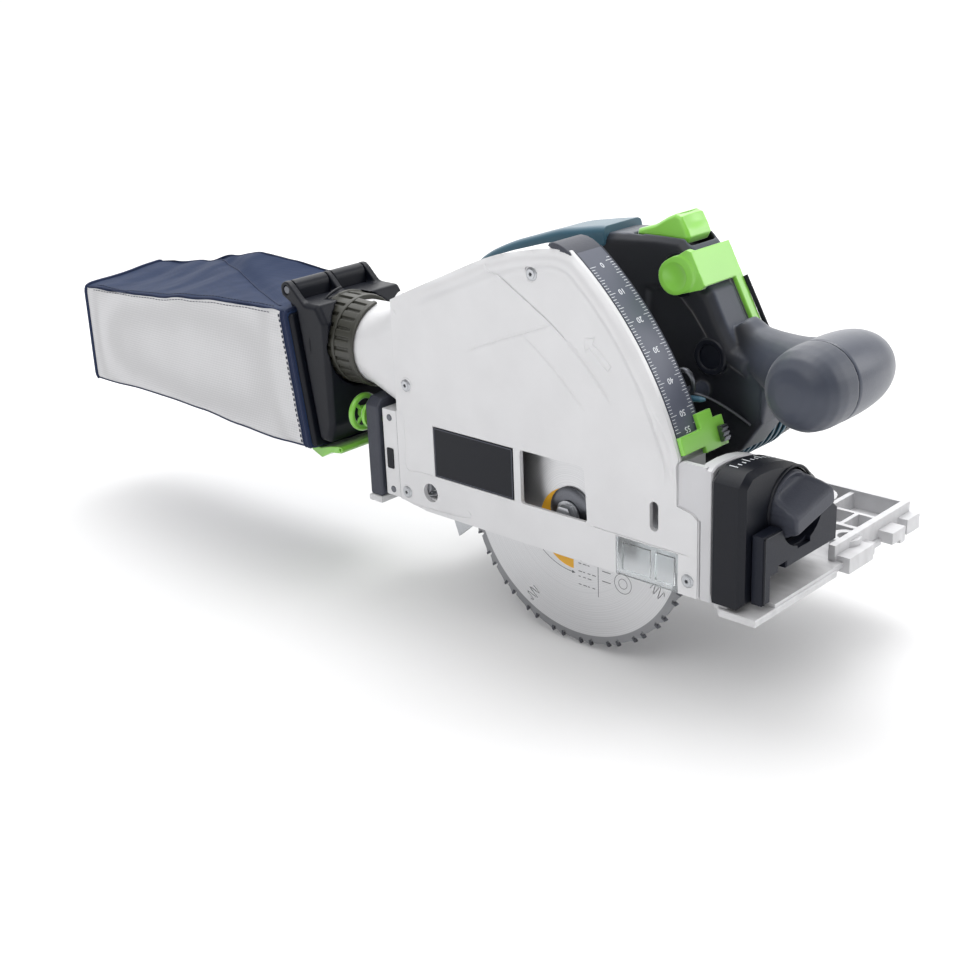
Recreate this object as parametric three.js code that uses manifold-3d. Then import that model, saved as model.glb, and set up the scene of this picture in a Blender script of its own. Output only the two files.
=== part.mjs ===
// Track plunge saw: sole, tilting blade guard, plunging motor unit with battery, dust bag.
// Units are millimetres. X points forward, Y to the motor side, Z up.
// The shapes are laid out from the blade: blade plane y = 0, arbor at x = 0, sole at z = 0.
// The finished group is moved so that the origin lies on the sole under the motor.
import * as THREE from 'three';
import Module from 'manifold-3d';

const wasm = await Module();
wasm.setup();

const DEG = Math.PI / 180;
const ORIGIN_SHIFT_Y = -68;

// Blade, arbor and plunge pivot
const BLADE_RADIUS = 80;
const BLADE_HALF = 0.9;
const BLADE_BORE = 10;
const TOOTH_COUNT = 48;
const ARBOR_X = 0;
const ARBOR_Z = 25;
const PIVOT_X = -108;
const PIVOT_Z = 18;
const PLUNGE_ARM = Math.hypot(ARBOR_X - PIVOT_X, ARBOR_Z - PIVOT_Z);
const PLUNGE_REST_ANGLE = Math.atan2(ARBOR_Z - PIVOT_Z, ARBOR_X - PIVOT_X);
const PLUNGE_TRAVEL = 31.2 * DEG;

// Gear pair between motor and arbor
const GEAR_MODULE = 0.85;
const PINION_TEETH = 11;
const GEAR_TEETH = 38;
const GEAR_DISTANCE = GEAR_MODULE * (PINION_TEETH + GEAR_TEETH) / 2;
const MOTOR_DIRECTION = 106 * DEG;
const MOTOR_X = ARBOR_X + GEAR_DISTANCE * Math.cos(MOTOR_DIRECTION);
const MOTOR_Z = ARBOR_Z + GEAR_DISTANCE * Math.sin(MOTOR_DIRECTION);

// Guard
const GUARD_HALF = 12;
const GUARD_WALL = 2.4;
const SCALE_RADIUS = 197;
const SCALE_BED_RADIUS = 194.2;
const SCALE_START = 17.3 * DEG;
const SCALE_END = 53.2 * DEG;
const STOP_ANGLE = 19.4 * DEG;

// Front grip
const GRIP_X = 130;
const GRIP_Z = 114;

// Bevel clamps
const FRONT_STUD = [26, 51];
const REAR_STUD = [-6, 53];
const BEVEL_TRAVEL = 47 * DEG;
const QUADRANT_RADIUS = 78.5;

// Dust port
const PORT_Y = 7;
const PORT_Z = 95;

// Finishes
const SILVER_PAINT = { color: 0xc8cbce, roughness: 0.42, metalness: 0.35 };
const CAST_ALLOY = { color: 0xbfc1c3, roughness: 0.5, metalness: 0.6 };
const CHARCOAL = { color: 0x2c3138, roughness: 0.6, metalness: 0 };
const BLACK_PLASTIC = { color: 0x1b1e23, roughness: 0.5, metalness: 0 };
const TEAL_PLASTIC = { color: 0x2b4a57, roughness: 0.5, metalness: 0 };
const LIME_PLASTIC = { color: 0x9ad552, roughness: 0.45, metalness: 0 };
const STEEL = { color: 0xb4b8bc, roughness: 0.3, metalness: 1 };
const DARK_STEEL = { color: 0x55595e, roughness: 0.4, metalness: 1 };
const COPPER = { color: 0xb06a3a, roughness: 0.4, metalness: 0.9 };
const CLEAR = { color: 0xdfe5e8, roughness: 0.1, metalness: 0 };
const FABRIC = { color: 0x3a5078, roughness: 0.9, metalness: 0 };
const BOARD_GREEN = { color: 0x2f6b46, roughness: 0.6, metalness: 0 };

// ---- shape helpers -------------------------------------------------------

// Points of an arc, both ends included.
function arc(cx, cz, radius, from, to, steps) {
  const points = [];
  for (let i = 0; i <= steps; i++) {
    const angle = from + (to - from) * i / steps;
    points.push([cx + radius * Math.cos(angle), cz + radius * Math.sin(angle)]);
  }
  return points;
}

// Closed circle as a point list.
function circle(cx, cz, radius, steps = 24) {
  return arc(cx, cz, radius, 0, 2 * Math.PI * (1 - 1 / steps), steps - 1);
}

// Convex outline round a set of discs given as [x, z, radius].
function hullOfDiscs(discs, steps = 24) {
  const points = discs.flatMap(([x, z, radius]) => circle(x, z, radius, steps));
  points.sort((a, b) => a[0] - b[0] || a[1] - b[1]);
  const turn = (o, a, b) => (a[0] - o[0]) * (b[1] - o[1]) - (a[1] - o[1]) * (b[0] - o[0]);
  const half = (list) => {
    const chain = [];
    for (const point of list) {
      while (chain.length > 1 && turn(chain[chain.length - 2], chain[chain.length - 1], point) <= 1e-6) {
        chain.pop();
      }
      chain.push(point);
    }
    chain.pop();
    return chain;
  };
  return [...half(points), ...half([...points].reverse())];
}

// Band between two radii round a centre.
function band(cx, cz, inner, outer, from, to, steps) {
  return [...arc(cx, cz, outer, from, to, steps), ...arc(cx, cz, inner, to, from, steps)];
}

function shapeOf(points, holes = []) {
  const shape = new THREE.Shape(points.map(([u, v]) => new THREE.Vector2(u, v)));
  for (const hole of holes) {
    shape.holes.push(new THREE.Path(hole.map(([u, v]) => new THREE.Vector2(u, v))));
  }
  return shape;
}

function extrude(points, length, holes, bevel) {
  return new THREE.ExtrudeGeometry(shapeOf(points, holes), {
    depth: length - 2 * bevel,
    bevelEnabled: bevel > 0,
    bevelThickness: bevel,
    bevelSize: bevel,
    bevelOffset: -bevel,
    bevelSegments: 1,
    curveSegments: 8,
  }).translate(0, 0, bevel);
}

// Outline in x and z, extruded along Y from y0 to y1.
function prismY(points, y0, y1, holes = [], bevel = 0) {
  return extrude(points, y1 - y0, holes, bevel).rotateX(Math.PI / 2).translate(0, y1, 0);
}

// Outline in y and z, extruded along X from x0 to x1.
function prismX(points, x0, x1, holes = [], bevel = 0) {
  const turn = new THREE.Matrix4().set(0, 0, 1, 0, 1, 0, 0, 0, 0, 1, 0, 0, 0, 0, 0, 1);
  return extrude(points, x1 - x0, holes, bevel).applyMatrix4(turn).translate(x0, 0, 0);
}

// Outline in x and y, extruded along Z from z0 to z1.
function prismZ(points, z0, z1, holes = [], bevel = 0) {
  return extrude(points, z1 - z0, holes, bevel).translate(0, 0, z0);
}

function box(x0, x1, y0, y1, z0, z1) {
  return new THREE.BoxGeometry(x1 - x0, y1 - y0, z1 - z0)
    .translate((x0 + x1) / 2, (y0 + y1) / 2, (z0 + z1) / 2);
}

function rectangle(u0, u1, v0, v1) {
  return [[u0, v0], [u1, v0], [u1, v1], [u0, v1]];
}

// Turned piece about an axis parallel to Y. The profile is a closed list of [radius, y].
function turnedY(profile, x, z, steps = 24) {
  const points = profile.map(([radius, y]) => new THREE.Vector2(radius, y));
  return new THREE.LatheGeometry(points, steps).translate(x, 0, z);
}

// Turned piece about an axis parallel to X. The profile is a closed list of [radius, x].
function turnedX(profile, y, z, steps = 24) {
  const points = profile.map(([radius, x]) => new THREE.Vector2(radius, x));
  return new THREE.LatheGeometry(points, steps).rotateZ(-Math.PI / 2).translate(0, y, z);
}

// Closed tube section as a turned profile, running along the axis from a to b.
function sleeve(inner, outer, a, b) {
  return [[inner, a], [outer, a], [outer, b], [inner, b], [inner, a]];
}

// Solid disc or rod as a turned profile.
function rod(radius, a, b) {
  return [[0, a], [radius, a], [radius, b], [0, b]];
}

// Skin through a row of closed rings, flat at both ends.
function loft(rings) {
  const positions = [];
  const count = rings[0].length;
  const put = (a, b, c) => positions.push(...a, ...b, ...c);
  for (let r = 0; r + 1 < rings.length; r++) {
    for (let i = 0; i < count; i++) {
      const j = (i + 1) % count;
      put(rings[r][i], rings[r][j], rings[r + 1][j]);
      put(rings[r][i], rings[r + 1][j], rings[r + 1][i]);
    }
  }
  const first = rings[0];
  const last = rings[rings.length - 1];
  for (let i = 1; i + 1 < count; i++) {
    put(first[0], first[i + 1], first[i]);
    put(last[0], last[i], last[i + 1]);
  }
  const geometry = new THREE.BufferGeometry();
  geometry.setAttribute('position', new THREE.Float32BufferAttribute(positions, 3));
  return geometry;
}

// Ring of points in a plane of constant x, between a rectangle and an ellipse.
function portRing(x, y, z, halfY, halfZ, power, steps = 24) {
  const ring = [];
  for (let i = 0; i < steps; i++) {
    const angle = 2 * Math.PI * i / steps;
    const c = Math.cos(angle);
    const s = Math.sin(angle);
    const u = Math.sign(c) * Math.abs(c) ** (2 / power);
    const v = Math.sign(s) * Math.abs(s) ** (2 / power);
    ring.push([x, y - halfY * u, z + halfZ * v]);
  }
  return ring;
}

// ---- solids --------------------------------------------------------------

// Turns the faces outward when the enclosed volume comes out negative.
function faceOutward(vertices, triangles) {
  let volume = 0;
  for (let i = 0; i < triangles.length; i += 3) {
    const [a, b, c] = [0, 1, 2].map((k) => new THREE.Vector3().fromArray(vertices, 3 * triangles[i + k]));
    volume += a.dot(b.cross(c));
  }
  if (volume < 0) {
    triangles.reverse();
  }
}

function toSolid(geometry) {
  const position = geometry.getAttribute('position');
  const index = geometry.index;
  const count = index ? index.count : position.count;
  const seen = new Map();
  const vertices = [];
  const triangles = [];
  for (let i = 0; i < count; i += 3) {
    const corners = [];
    for (let k = 0; k < 3; k++) {
      const v = index ? index.getX(i + k) : i + k;
      const point = [position.getX(v), position.getY(v), position.getZ(v)];
      const key = point.map((value) => Math.round(value * 2000)).join(' ');
      if (!seen.has(key)) {
        seen.set(key, vertices.length / 3);
        vertices.push(...point);
      }
      corners.push(seen.get(key));
    }
    const [a, b, c] = corners;
    if (a !== b && b !== c && c !== a) {
      triangles.push(a, b, c);
    }
  }
  faceOutward(vertices, triangles);
  return new wasm.Manifold(new wasm.Mesh({
    numProp: 3,
    vertProperties: new Float32Array(vertices),
    triVerts: new Uint32Array(triangles),
  }));
}

function toGeometry(solid) {
  const mesh = solid.getMesh();
  const geometry = new THREE.BufferGeometry();
  const positions = [];
  for (let i = 0; i < mesh.vertProperties.length; i += mesh.numProp) {
    positions.push(mesh.vertProperties[i], mesh.vertProperties[i + 1], mesh.vertProperties[i + 2]);
  }
  geometry.setAttribute('position', new THREE.Float32BufferAttribute(positions, 3));
  geometry.setIndex([...mesh.triVerts]);
  return geometry;
}

// Joins the first list and cuts the second list away.
function carve(added, removed = []) {
  let solid = toSolid(added[0]);
  for (const geometry of added.slice(1)) {
    solid = solid.add(toSolid(geometry));
  }
  for (const geometry of removed) {
    solid = solid.subtract(toSolid(geometry));
  }
  return toGeometry(solid);
}

const saw = new THREE.Group();
saw.name = 'track_plunge_saw';

function piece(name, geometry, finish) {
  const flat = toGeometry(toSolid(geometry)).toNonIndexed();
  flat.translate(0, ORIGIN_SHIFT_Y, 0);
  flat.computeVertexNormals();
  const mesh = new THREE.Mesh(flat, new THREE.MeshStandardMaterial(finish));
  mesh.name = name;
  saw.add(mesh);
}

// ---- sole ----------------------------------------------------------------

const SOLE_TOP = 4;
const WELL_Y = 126;
const FRONT_WELL_X = 76;
const REAR_WELL_X = -100;
const SPLINTER_EDGE_Y = 4;

// Cast plate with the two tabs that carry the bevel brackets, ribs, wells and lugs.
const soleOutline = [
  [-152, -15], [-141, -15], [-141, SPLINTER_EDGE_Y], [100.9, SPLINTER_EDGE_Y], [100.9, -9], [109, -17],
  [131, -17], [131, 60], [128, 66], [128, 146], [124, 150], [-134, 150], [-140, 144], [-140, 46], [-152, 40],
];
const soleRibs = [
  box(122, 126, 66, 146, 3, 15),
  box(56, 126, 143, 147, 3, 15),
  box(58, 61, 100, 147, 3, 13),
  box(90, 93, 96, 147, 3, 13.5),
  box(58, 124, 96, 99, 3, 13.5),
  box(90, 124, 121, 123.5, 3, 11),
  box(106, 108.5, 99, 122, 3, 11),
  box(-136, 58, 145, 149, 3, 9),
  box(-136, -60, 100, 102.5, 3, 8),
  box(-60, 56, 140, 142, 3, 8),
  box(104, 130, 2, 68, 3, 6),
  box(104, 112, -14, 2, 3, 5.5),
];
const soleLugs = [
  box(124, 134, 68, 93, 0, 9),
  box(122, 131, 93, 100, 0, 7),
  box(124, 135, 112, 126, 0, 9),
  box(122, 132, 134, 148, 0, 9),
  prismZ(circle(120, 87, 8.5), 3, 12.5),
];
const soleWells = [FRONT_WELL_X, REAR_WELL_X].map((x) => prismZ(circle(x, WELL_Y, 13.5), 3, x > 0 ? 14 : 10));
const soleCuts = [
  box(-160, 140, 112, 121, -1, 2.2),
  prismZ(circle(120, 87, 4.6), -1, 14),
  ...[FRONT_WELL_X, REAR_WELL_X].map((x) => prismZ(circle(x, WELL_Y, 11.5), 2.4, 20)),
  ...[FRONT_WELL_X, REAR_WELL_X].map((x) => prismZ(circle(x, WELL_Y, 3.4, 16), -1, 4)),
  prismZ(hullOfDiscs([[-70, 30, 5], [-40, 30, 5]], 12), -1, 6),
];
piece('sole_plate', carve([prismZ(soleOutline, 0, SOLE_TOP, [], 0.6), ...soleRibs, ...soleLugs, ...soleWells],
  soleCuts), CAST_ALLOY);

// Eccentric cams that take up the play on the guide rail.
for (const [name, x] of [['guide_cam_front', FRONT_WELL_X], ['guide_cam_rear', REAR_WELL_X]]) {
  const top = x > 0 ? 11 : 8;
  const arm = prismZ(hullOfDiscs([[x, WELL_Y, 6], [x - 6.5, WELL_Y + 1, 2.6]], 16), 4.8, top - 1);
  const head = prismZ(circle(x, WELL_Y, 5.4, 16), 4.8, top);
  const stem = prismZ(circle(x, WELL_Y, 3, 16), 2.6, 5);
  const eccentric = prismZ(circle(x, WELL_Y - 0.4, 2.4, 16), 0.4, 2.8);
  const slot = box(x - 3.6, x + 3.6, WELL_Y - 0.7, WELL_Y + 0.7, top - 2, top + 1);
  piece(name, carve([arm, head, stem, eccentric], [slot]), LIME_PLASTIC);
}

// ---- bevel brackets fixed to the sole ------------------------------------

const [frontStudY, frontStudZ] = FRONT_STUD;
const [rearStudY, rearStudZ] = REAR_STUD;

const quadrantOutline = [
  [-16.4, 6.4], [9, 6.4], [9, 14], [20, 18], [64, 18],
  ...arc(0, 0, QUADRANT_RADIUS, 35.5 * DEG, 97 * DEG, 10), [-16.4, 72],
];
piece('front_quadrant', carve(
  [prismX(quadrantOutline, 101.3, 122, [], 3)],
  [
    turnedX(rod(19.6, 113.4, 125), frontStudY, frontStudZ, 32),
    turnedX(rod(4.3, 100, 126), frontStudY, frontStudZ, 16),
  ]), BLACK_PLASTIC);

const coverOutline = [
  [-9, 8.5], [-2, 8.5], [-2, 22.5], [5, 22.5], [5, 26], [12, 26], [12, 22.5], [60, 22.5], [60, 41], [54, 46],
  [-9, 46],
];
piece('front_cover', carve(
  [prismX(coverOutline, 122.3, 129.8, [], 0.7)],
  [turnedX(rod(19.9, 121, 131), frontStudY, frontStudZ, 32), box(127, 131, 22, 34, 30, 33.4)]), BLACK_PLASTIC);

const rearQuadrantOutline = [
  [-14, 4.3], [38, 4.3], [38, 52], ...arc(0, 0, 67, 55 * DEG, 98 * DEG, 6), [-14, 62],
];
piece('rear_quadrant', prismX(rearQuadrantOutline, -152, -141,
  [circle(rearStudY, rearStudZ, 3.7, 16)], 1), CHARCOAL);

// Clamp knob: disc with a wing and a stud through the bracket.
function clampKnob(name, y, z, faceX, direction, size, studLength, finish) {
  const at = (distance) => faceX + direction * distance;
  const span = (a, b) => [Math.min(at(a), at(b)), Math.max(at(a), at(b))];
  const disc = turnedX(rod(size, ...span(0, size * 0.62)), y, z, 24);
  const wing = prismX(hullOfDiscs([[y - size * 0.55, z, size * 0.3], [y + size * 0.55, z, size * 0.3]], 12),
    ...span(size * 0.55, size * 1.35), [], 1.2);
  const stud = turnedX(rod(3.2, ...span(-studLength, 1)), y, z, 12);
  piece(name, carve([disc, wing, stud]), finish);
}
clampKnob('bevel_knob_front', frontStudY, frontStudZ, 114, 1, 18.4, 26.5, BLACK_PLASTIC);
clampKnob('bevel_knob_rear', rearStudY, rearStudZ, -153, -1, 11.5, 25, LIME_PLASTIC);

// ---- tilting guard -------------------------------------------------------

const guardTop = [[10, 176], [-3, 175], [-26, 170.6], [-49, 164], [-84, 149], [-110, 137.5], [-126, 130]];

// Side outline; the front edge follows an arc about the plunge pivot.
function guardOutline(radius, floor) {
  return [
    [-126, floor + 3], [-104, floor], [92.7, floor], [92.7, 46.5], [89, 50], [79.6, 52], [79.6, 74],
    ...arc(PIVOT_X, PIVOT_Z, radius, SCALE_START, SCALE_END - 0.4 * DEG, 16), ...guardTop.slice(1),
  ];
}

const guardCavity = [
  [-123.4, -5], [90, -5], [90, 45.5], [87.5, 47.6], [77, 49.6], [77, 74],
  ...arc(PIVOT_X, PIVOT_Z, SCALE_BED_RADIUS - GUARD_WALL, SCALE_START + 0.3 * DEG, 52 * DEG, 14),
  [-4, 172.3], [-26, 167.8], [-48, 161.4], [-83, 146.3], [-109, 134.8], [-123.4, 128],
];
const hubSlot = band(PIVOT_X, PIVOT_Z, PLUNGE_ARM - 22.5, PLUNGE_ARM + 22.5,
  PLUNGE_REST_ANGLE - 16 * DEG, PLUNGE_REST_ANGLE + PLUNGE_TRAVEL + 12 * DEG, 12);
const portSections = [
  [-104, 0, 95, 11.8, 33, 5], [-126, 0, 95, 11.9, 31, 4], [-138, 4, 95, 20, 27.8, 2.6],
  [-150, 7, 95, 24.8, 25.2, 2], [-168.6, 7, 95, 24.8, 24.8, 2],
];
const portBore = [
  [-98, 0, 95, 9.3, 29, 5], [-126, 0, 95, 9.5, 28.4, 4], [-138, 4, 95, 17.4, 25.2, 2.6],
  [-150, 7, 95, 22.4, 22.8, 2], [-171, 7, 95, 22.4, 22.4, 2],
];
const ring = ([x, y, z, halfY, halfZ, power]) => portRing(x, y, z, halfY, halfZ, power);
const windowHole = [[-28, 27.6], [-26.5, 26.4], [19, 27], [20.4, 28.5], [18.4, 58], [17, 59.4], [-26.5, 59.4], [-28, 58]];
const guardScrews = [[-120, 12], [-116, 80], [86.6, 12], [-15, 160]];

piece('guard_shell', carve(
  [
    prismY(guardOutline(SCALE_RADIUS + 0.4, 3), -GUARD_HALF, -GUARD_HALF + GUARD_WALL, [], 0.5),
    prismY(guardOutline(SCALE_BED_RADIUS, 6), -GUARD_HALF + 1.5, GUARD_HALF),
    loft(portSections.map(ring)),
  ],
  [
    prismY(guardCavity, -GUARD_HALF + GUARD_WALL, GUARD_HALF - GUARD_WALL),
    loft(portBore.map(ring)),
    prismY(windowHole, -20, 0),
    prismY(hubSlot, 5, 20),
    prismY(hullOfDiscs([[65, 37, 3], [65, 48, 3]], 12), -20, 0),
    prismY(circle(-100, 16, 6, 16), -20, 0),
    box(39.4, 80.6, -20, 0, -5, 25.6),
    box(-20, 100, 5, 20, -5, 6.5),
    ...guardScrews.map(([x, z]) => prismY(circle(x, z, 2.1, 8), -20, 0)),
    turnedY(rod(5.4, 5, 20), PIVOT_X, PIVOT_Z, 16),
  ]), SILVER_PAINT);

guardScrews.forEach(([x, z], i) => {
  const head = turnedY([[0, -13.6], [2.6, -13.6], [3.8, -12.9], [3.8, -12.3], [1.8, -12.3], [1.8, -10], [0, -10]],
    x, z, 10);
  piece(`guard_screw_${i + 1}`, head, STEEL);
});

// Depth scale strip lying in the recess of the front arc.
piece('depth_scale', prismY(
  band(PIVOT_X, PIVOT_Z, SCALE_BED_RADIUS + 0.3, SCALE_RADIUS, SCALE_START + 0.3 * DEG, SCALE_END - DEG, 20),
  -9.2, 11.4), CHARCOAL);

// Depth stop: crossbar, stem and a lip over the far edge of the scale.
const stopBand = (inner, outer, from, to) => band(PIVOT_X, PIVOT_Z, inner, outer,
  STOP_ANGLE + from * DEG, STOP_ANGLE + to * DEG, 4);
piece('depth_stop', carve([
  prismY(stopBand(197.8, 200.6, -1.6, 1.1), -10.6, 8),
  prismY(stopBand(197.8, 200.6, -2.6, 3.4), 7, 19),
  prismY(stopBand(197.8, 200.6, -2.6, 1.9), 18, 26.6),
  prismY(stopBand(189.5, 199, -2, 2.8), 12.4, 18),
]), LIME_PLASTIC);
piece('stop_button', carve(
  [
    prismY(stopBand(201, 203.6, -1.9, 0.5), 19.4, 24.4),
    ...[-1.6, -0.9, -0.2].map((angle) => prismY(stopBand(203, 204.4, angle, angle + 0.35), 19.4, 24.4)),
  ]), DARK_STEEL);

piece('name_plate', box(-95, -33, -12.9, -12.3, 28, 58.6), BLACK_PLASTIC);

piece('sight_window', carve(
  [box(39.8, 80.2, -12.6, -10, 3.2, 25.2)],
  [box(43, 62, -11.9, -9, 6, 22), box(65, 77.5, -11.9, -9, 6, 22)]), CLEAR);

// Front block of the tilting frame, with the arc slot for the clamp stud.
const studRadius = Math.hypot(frontStudY, frontStudZ);
const studAngle = Math.atan2(frontStudZ, frontStudY);
const frontBlockOutline = [
  [-12, 3.2], [3.5, 3.2], [3.5, 6.5], [62, 6.5], [70, 9], [75, 20],
  ...arc(0, 0, QUADRANT_RADIUS - 0.8, 16 * DEG, 96 * DEG, 12), [-12, 75],
];
const slotAround = (radius, angle, half) => band(0, 0, radius - half, radius + half,
  angle - BEVEL_TRAVEL - Math.asin(half / radius), angle + Math.asin(half / radius), 14);
const frontCheek = [[80, 74.8], [80, 52.3], [89.3, 50.3], [93.1, 47], [97, 47], [97, 76.5], [82, 76.5]];
piece('tilt_block_front', carve(
  [
    prismX(frontBlockOutline, 93.1, 100.6, [], 0.8),
    prismY(frontCheek, -12, -9.2),
  ],
  [
    prismX(slotAround(studRadius, studAngle, 4.2), 80, 110),
  ]), SILVER_PAINT);

const rearRadius = Math.hypot(rearStudY, rearStudZ);
const rearAngle = Math.atan2(rearStudZ, rearStudY);
const rearBlockOutline = [
  [-12, 6.3], [30, 6.3], [44, 20], [44, 44], [36, 56], [20, 61.5], [-12, 61.5],
];
piece('tilt_block_rear', carve(
  [prismX(rearBlockOutline, -139.6, -126.5, [], 0.8)],
  [prismX(slotAround(rearRadius, rearAngle, 3.9), -145, -120)]), SILVER_PAINT);

piece('pivot_pin', turnedY(rod(5, -9.2, 34.2), PIVOT_X, PIVOT_Z, 16), STEEL);

// Torsion spring wound round the pivot pin.
class Helix extends THREE.Curve {
  getPoint(t) {
    const angle = t * 4.5 * 2 * Math.PI;
    return new THREE.Vector3(PIVOT_X + 7.3 * Math.cos(angle), -7.6 + 15 * t, PIVOT_Z + 7.3 * Math.sin(angle));
  }
}
const wire = new THREE.Shape(circle(0, 0, 1, 6).map(([u, v]) => new THREE.Vector2(u, v)));
piece('return_spring', new THREE.ExtrudeGeometry(wire, {
  steps: 60, bevelEnabled: false, extrudePath: new Helix(),
}), STEEL);

// ---- dust collection -----------------------------------------------------

// Knurled locking ring on the dust port.
const ringRibs = [];
for (let i = 0; i < 20; i++) {
  const angle = 2 * Math.PI * i / 20;
  ringRibs.push(circle(PORT_Y + 27.6 * Math.cos(angle), PORT_Z + 27.6 * Math.sin(angle), 1.5, 6));
}
piece('port_ring', carve(
  [turnedX(sleeve(20.2, 27.4, -186.6, -169), PORT_Y, PORT_Z, 40)],
  ringRibs.map((rib) => prismX(rib, -190, -171.5))), BLACK_PLASTIC);

// Rear face of the bag adapter leans back towards the top.
const LEAN = Math.tan(9 * DEG);
const leaningX = (z, offset) => -185 - offset - (z - 30) * LEAN;
const slab = (from, to, z0, z1) => [
  [leaningX(z0, to), z0], [leaningX(z0, from), z0], [leaningX(z1, from), z1], [leaningX(z1, to), z1],
];
const HINGE_X = -205;
const HINGE_Z = 127;
piece('bag_adapter', carve(
  [
    prismY([
      [leaningX(34, 0), 34], [-176, 34], [-171.5, 46], [-171.5, 110], [-178, 121], [leaningX(121, 0), 121],
    ], -24, 46, [], 2.5),
    prismY(hullOfDiscs([[HINGE_X, HINGE_Z, 5.4], [-192, 118, 3]], 16), -24, -19.4),
    prismY(hullOfDiscs([[HINGE_X, HINGE_Z, 5.4], [-192, 118, 3]], 16), 7.5, 11.5),
    prismY(hullOfDiscs([[HINGE_X, HINGE_Z, 5.4], [-192, 118, 3]], 16), 37.6, 42),
  ],
  [
    turnedX(rod(28.9, -187.2, -160), PORT_Y, PORT_Z, 32),
    turnedX(rod(17.4, -210, -150), PORT_Y, PORT_Z, 24),
    turnedY(rod(2.8, -30, 50), HINGE_X, HINGE_Z, 12),
  ]), BLACK_PLASTIC);
piece('port_spigot', carve(
  [turnedX(sleeve(17, 19.7, -186.6, -150), PORT_Y, PORT_Z, 24)],
  [box(-172, -149, PORT_Y - 1, PORT_Y + 1, PORT_Z, PORT_Z + 30)]), BLACK_PLASTIC);

piece('bag_frame', carve(
  [
    prismY(slab(0.6, 8.6, 30.5, 113), -27, 49, [], 1.5),
    prismY(hullOfDiscs([[HINGE_X, HINGE_Z, 5.2], [leaningX(108, 4.8), 108, 3]], 16), -19, 7.1),
    prismY(hullOfDiscs([[HINGE_X, HINGE_Z, 5.2], [leaningX(108, 4.8), 108, 3]], 16), 11.9, 37.2),
  ],
  [
    prismX(rectangle(-17, 39, 42, 106), -230, -170),
    turnedY(rod(2.8, -30, 50), HINGE_X, HINGE_Z, 12),
  ]), BLACK_PLASTIC);
piece('bag_hinge_pin', turnedY(rod(2.4, -23.4, 41.4), HINGE_X, HINGE_Z, 12), DARK_STEEL);

// Bag body: rings from the frame to the far end. Each row gives the distance from the frame and
// the heights of the near top edge, crown, far top edge, floor, plus the near and far sides.
const bagRows = [
  { x: 0, near: -24, far: 46, floor: 32, nearTop: 113, crown: 116, farTop: 116, lean: 1 },
  { x: 40, near: -25, far: 46, floor: 30, nearTop: 112, crown: 119, farTop: 119, lean: 0.8 },
  { x: 100, near: -25.5, far: 46, floor: 29, nearTop: 109, crown: 119, farTop: 122, lean: 0.5 },
  { x: 165, near: -25, far: 45, floor: 29, nearTop: 104, crown: 112, farTop: 113, lean: 0.2 },
  { x: 222, near: -23.5, far: 43, floor: 30.5, nearTop: 99, crown: 103, farTop: 104, lean: 0 },
];
const bagRing = ({ x, near, far, floor, nearTop, crown, farTop, lean }) => {
  const middle = (near + far) / 2;
  const outline = [
    [near + 3, floor], [far - 3, floor], [far, floor + 4], [far, (floor + farTop) / 2], [far, farTop - 4],
    [far - 3, farTop], [middle, crown], [near + 3, nearTop], [near, nearTop - 4], [near, (floor + nearTop) / 2],
    [near, floor + 4],
  ];
  return outline.map(([y, z]) => [leaningX(30 + (z - 30) * lean, 9.2) - x, y, z]);
};
piece('dust_bag', loft(bagRows.map(bagRing)), FABRIC);

piece('bag_latch', carve(
  [prismY([[-199, 24], [-190, 20.5], [-181, 25.5], [-171, 27], [-170, 29], [-171, 31], [-173.6, 31],
    [-182, 29.4], [-190, 27], [-199, 27.4]], -19, 22)],
  [turnedY(rod(1.1, -30, 40), -172.2, 29, 8)]), LIME_PLASTIC);

// ---- plunging unit: gear case, handle body, motor, battery ----------------

// Outline of a toothed wheel with straight-sided teeth; one tooth points at the phase angle.
function toothedWheel(cx, cz, teeth, phase) {
  const pitch = GEAR_MODULE * teeth / 2;
  const step = 2 * Math.PI / teeth;
  const points = [];
  for (let i = 0; i < teeth; i++) {
    const centre = phase + i * step;
    for (const [radius, share] of [[-0.85, -0.3], [0.6, -0.12], [0.6, 0.12], [-0.85, 0.3]]) {
      const angle = centre + share * step;
      const r = pitch + radius * GEAR_MODULE;
      points.push([cx + r * Math.cos(angle), cz + r * Math.sin(angle)]);
    }
  }
  return points;
}

const gearCaseOutline = hullOfDiscs([
  [ARBOR_X, ARBOR_Z, 19.6], [MOTOR_X, MOTOR_Z, 33.5], [PIVOT_X, PIVOT_Z, 12.6], [-70, 24, 16],
], 28);
piece('gear_case', carve(
  [prismY(gearCaseOutline, 13.4, 34.6, [], 1), turnedY(rod(18.6, 9, 14), ARBOR_X, ARBOR_Z, 28)],
  [
    turnedY(rod(17.9, 15.4, 26.6), ARBOR_X, ARBOR_Z, 32),
    turnedY(rod(7.4, 14.8, 36), MOTOR_X, MOTOR_Z, 20),
    turnedY(rod(9.3, 28, 36), MOTOR_X, MOTOR_Z, 24),
    turnedY(rod(11.3, 8, 16), ARBOR_X, ARBOR_Z, 24),
    turnedY(rod(6, 26, 33), ARBOR_X, ARBOR_Z, 20),
    turnedY(rod(5.4, 10, 40), PIVOT_X, PIVOT_Z, 16),
    prismY(hullOfDiscs([[-92, 24, 3], [-52, 30, 7]], 12), 20, 40),
  ]), CHARCOAL);

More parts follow.
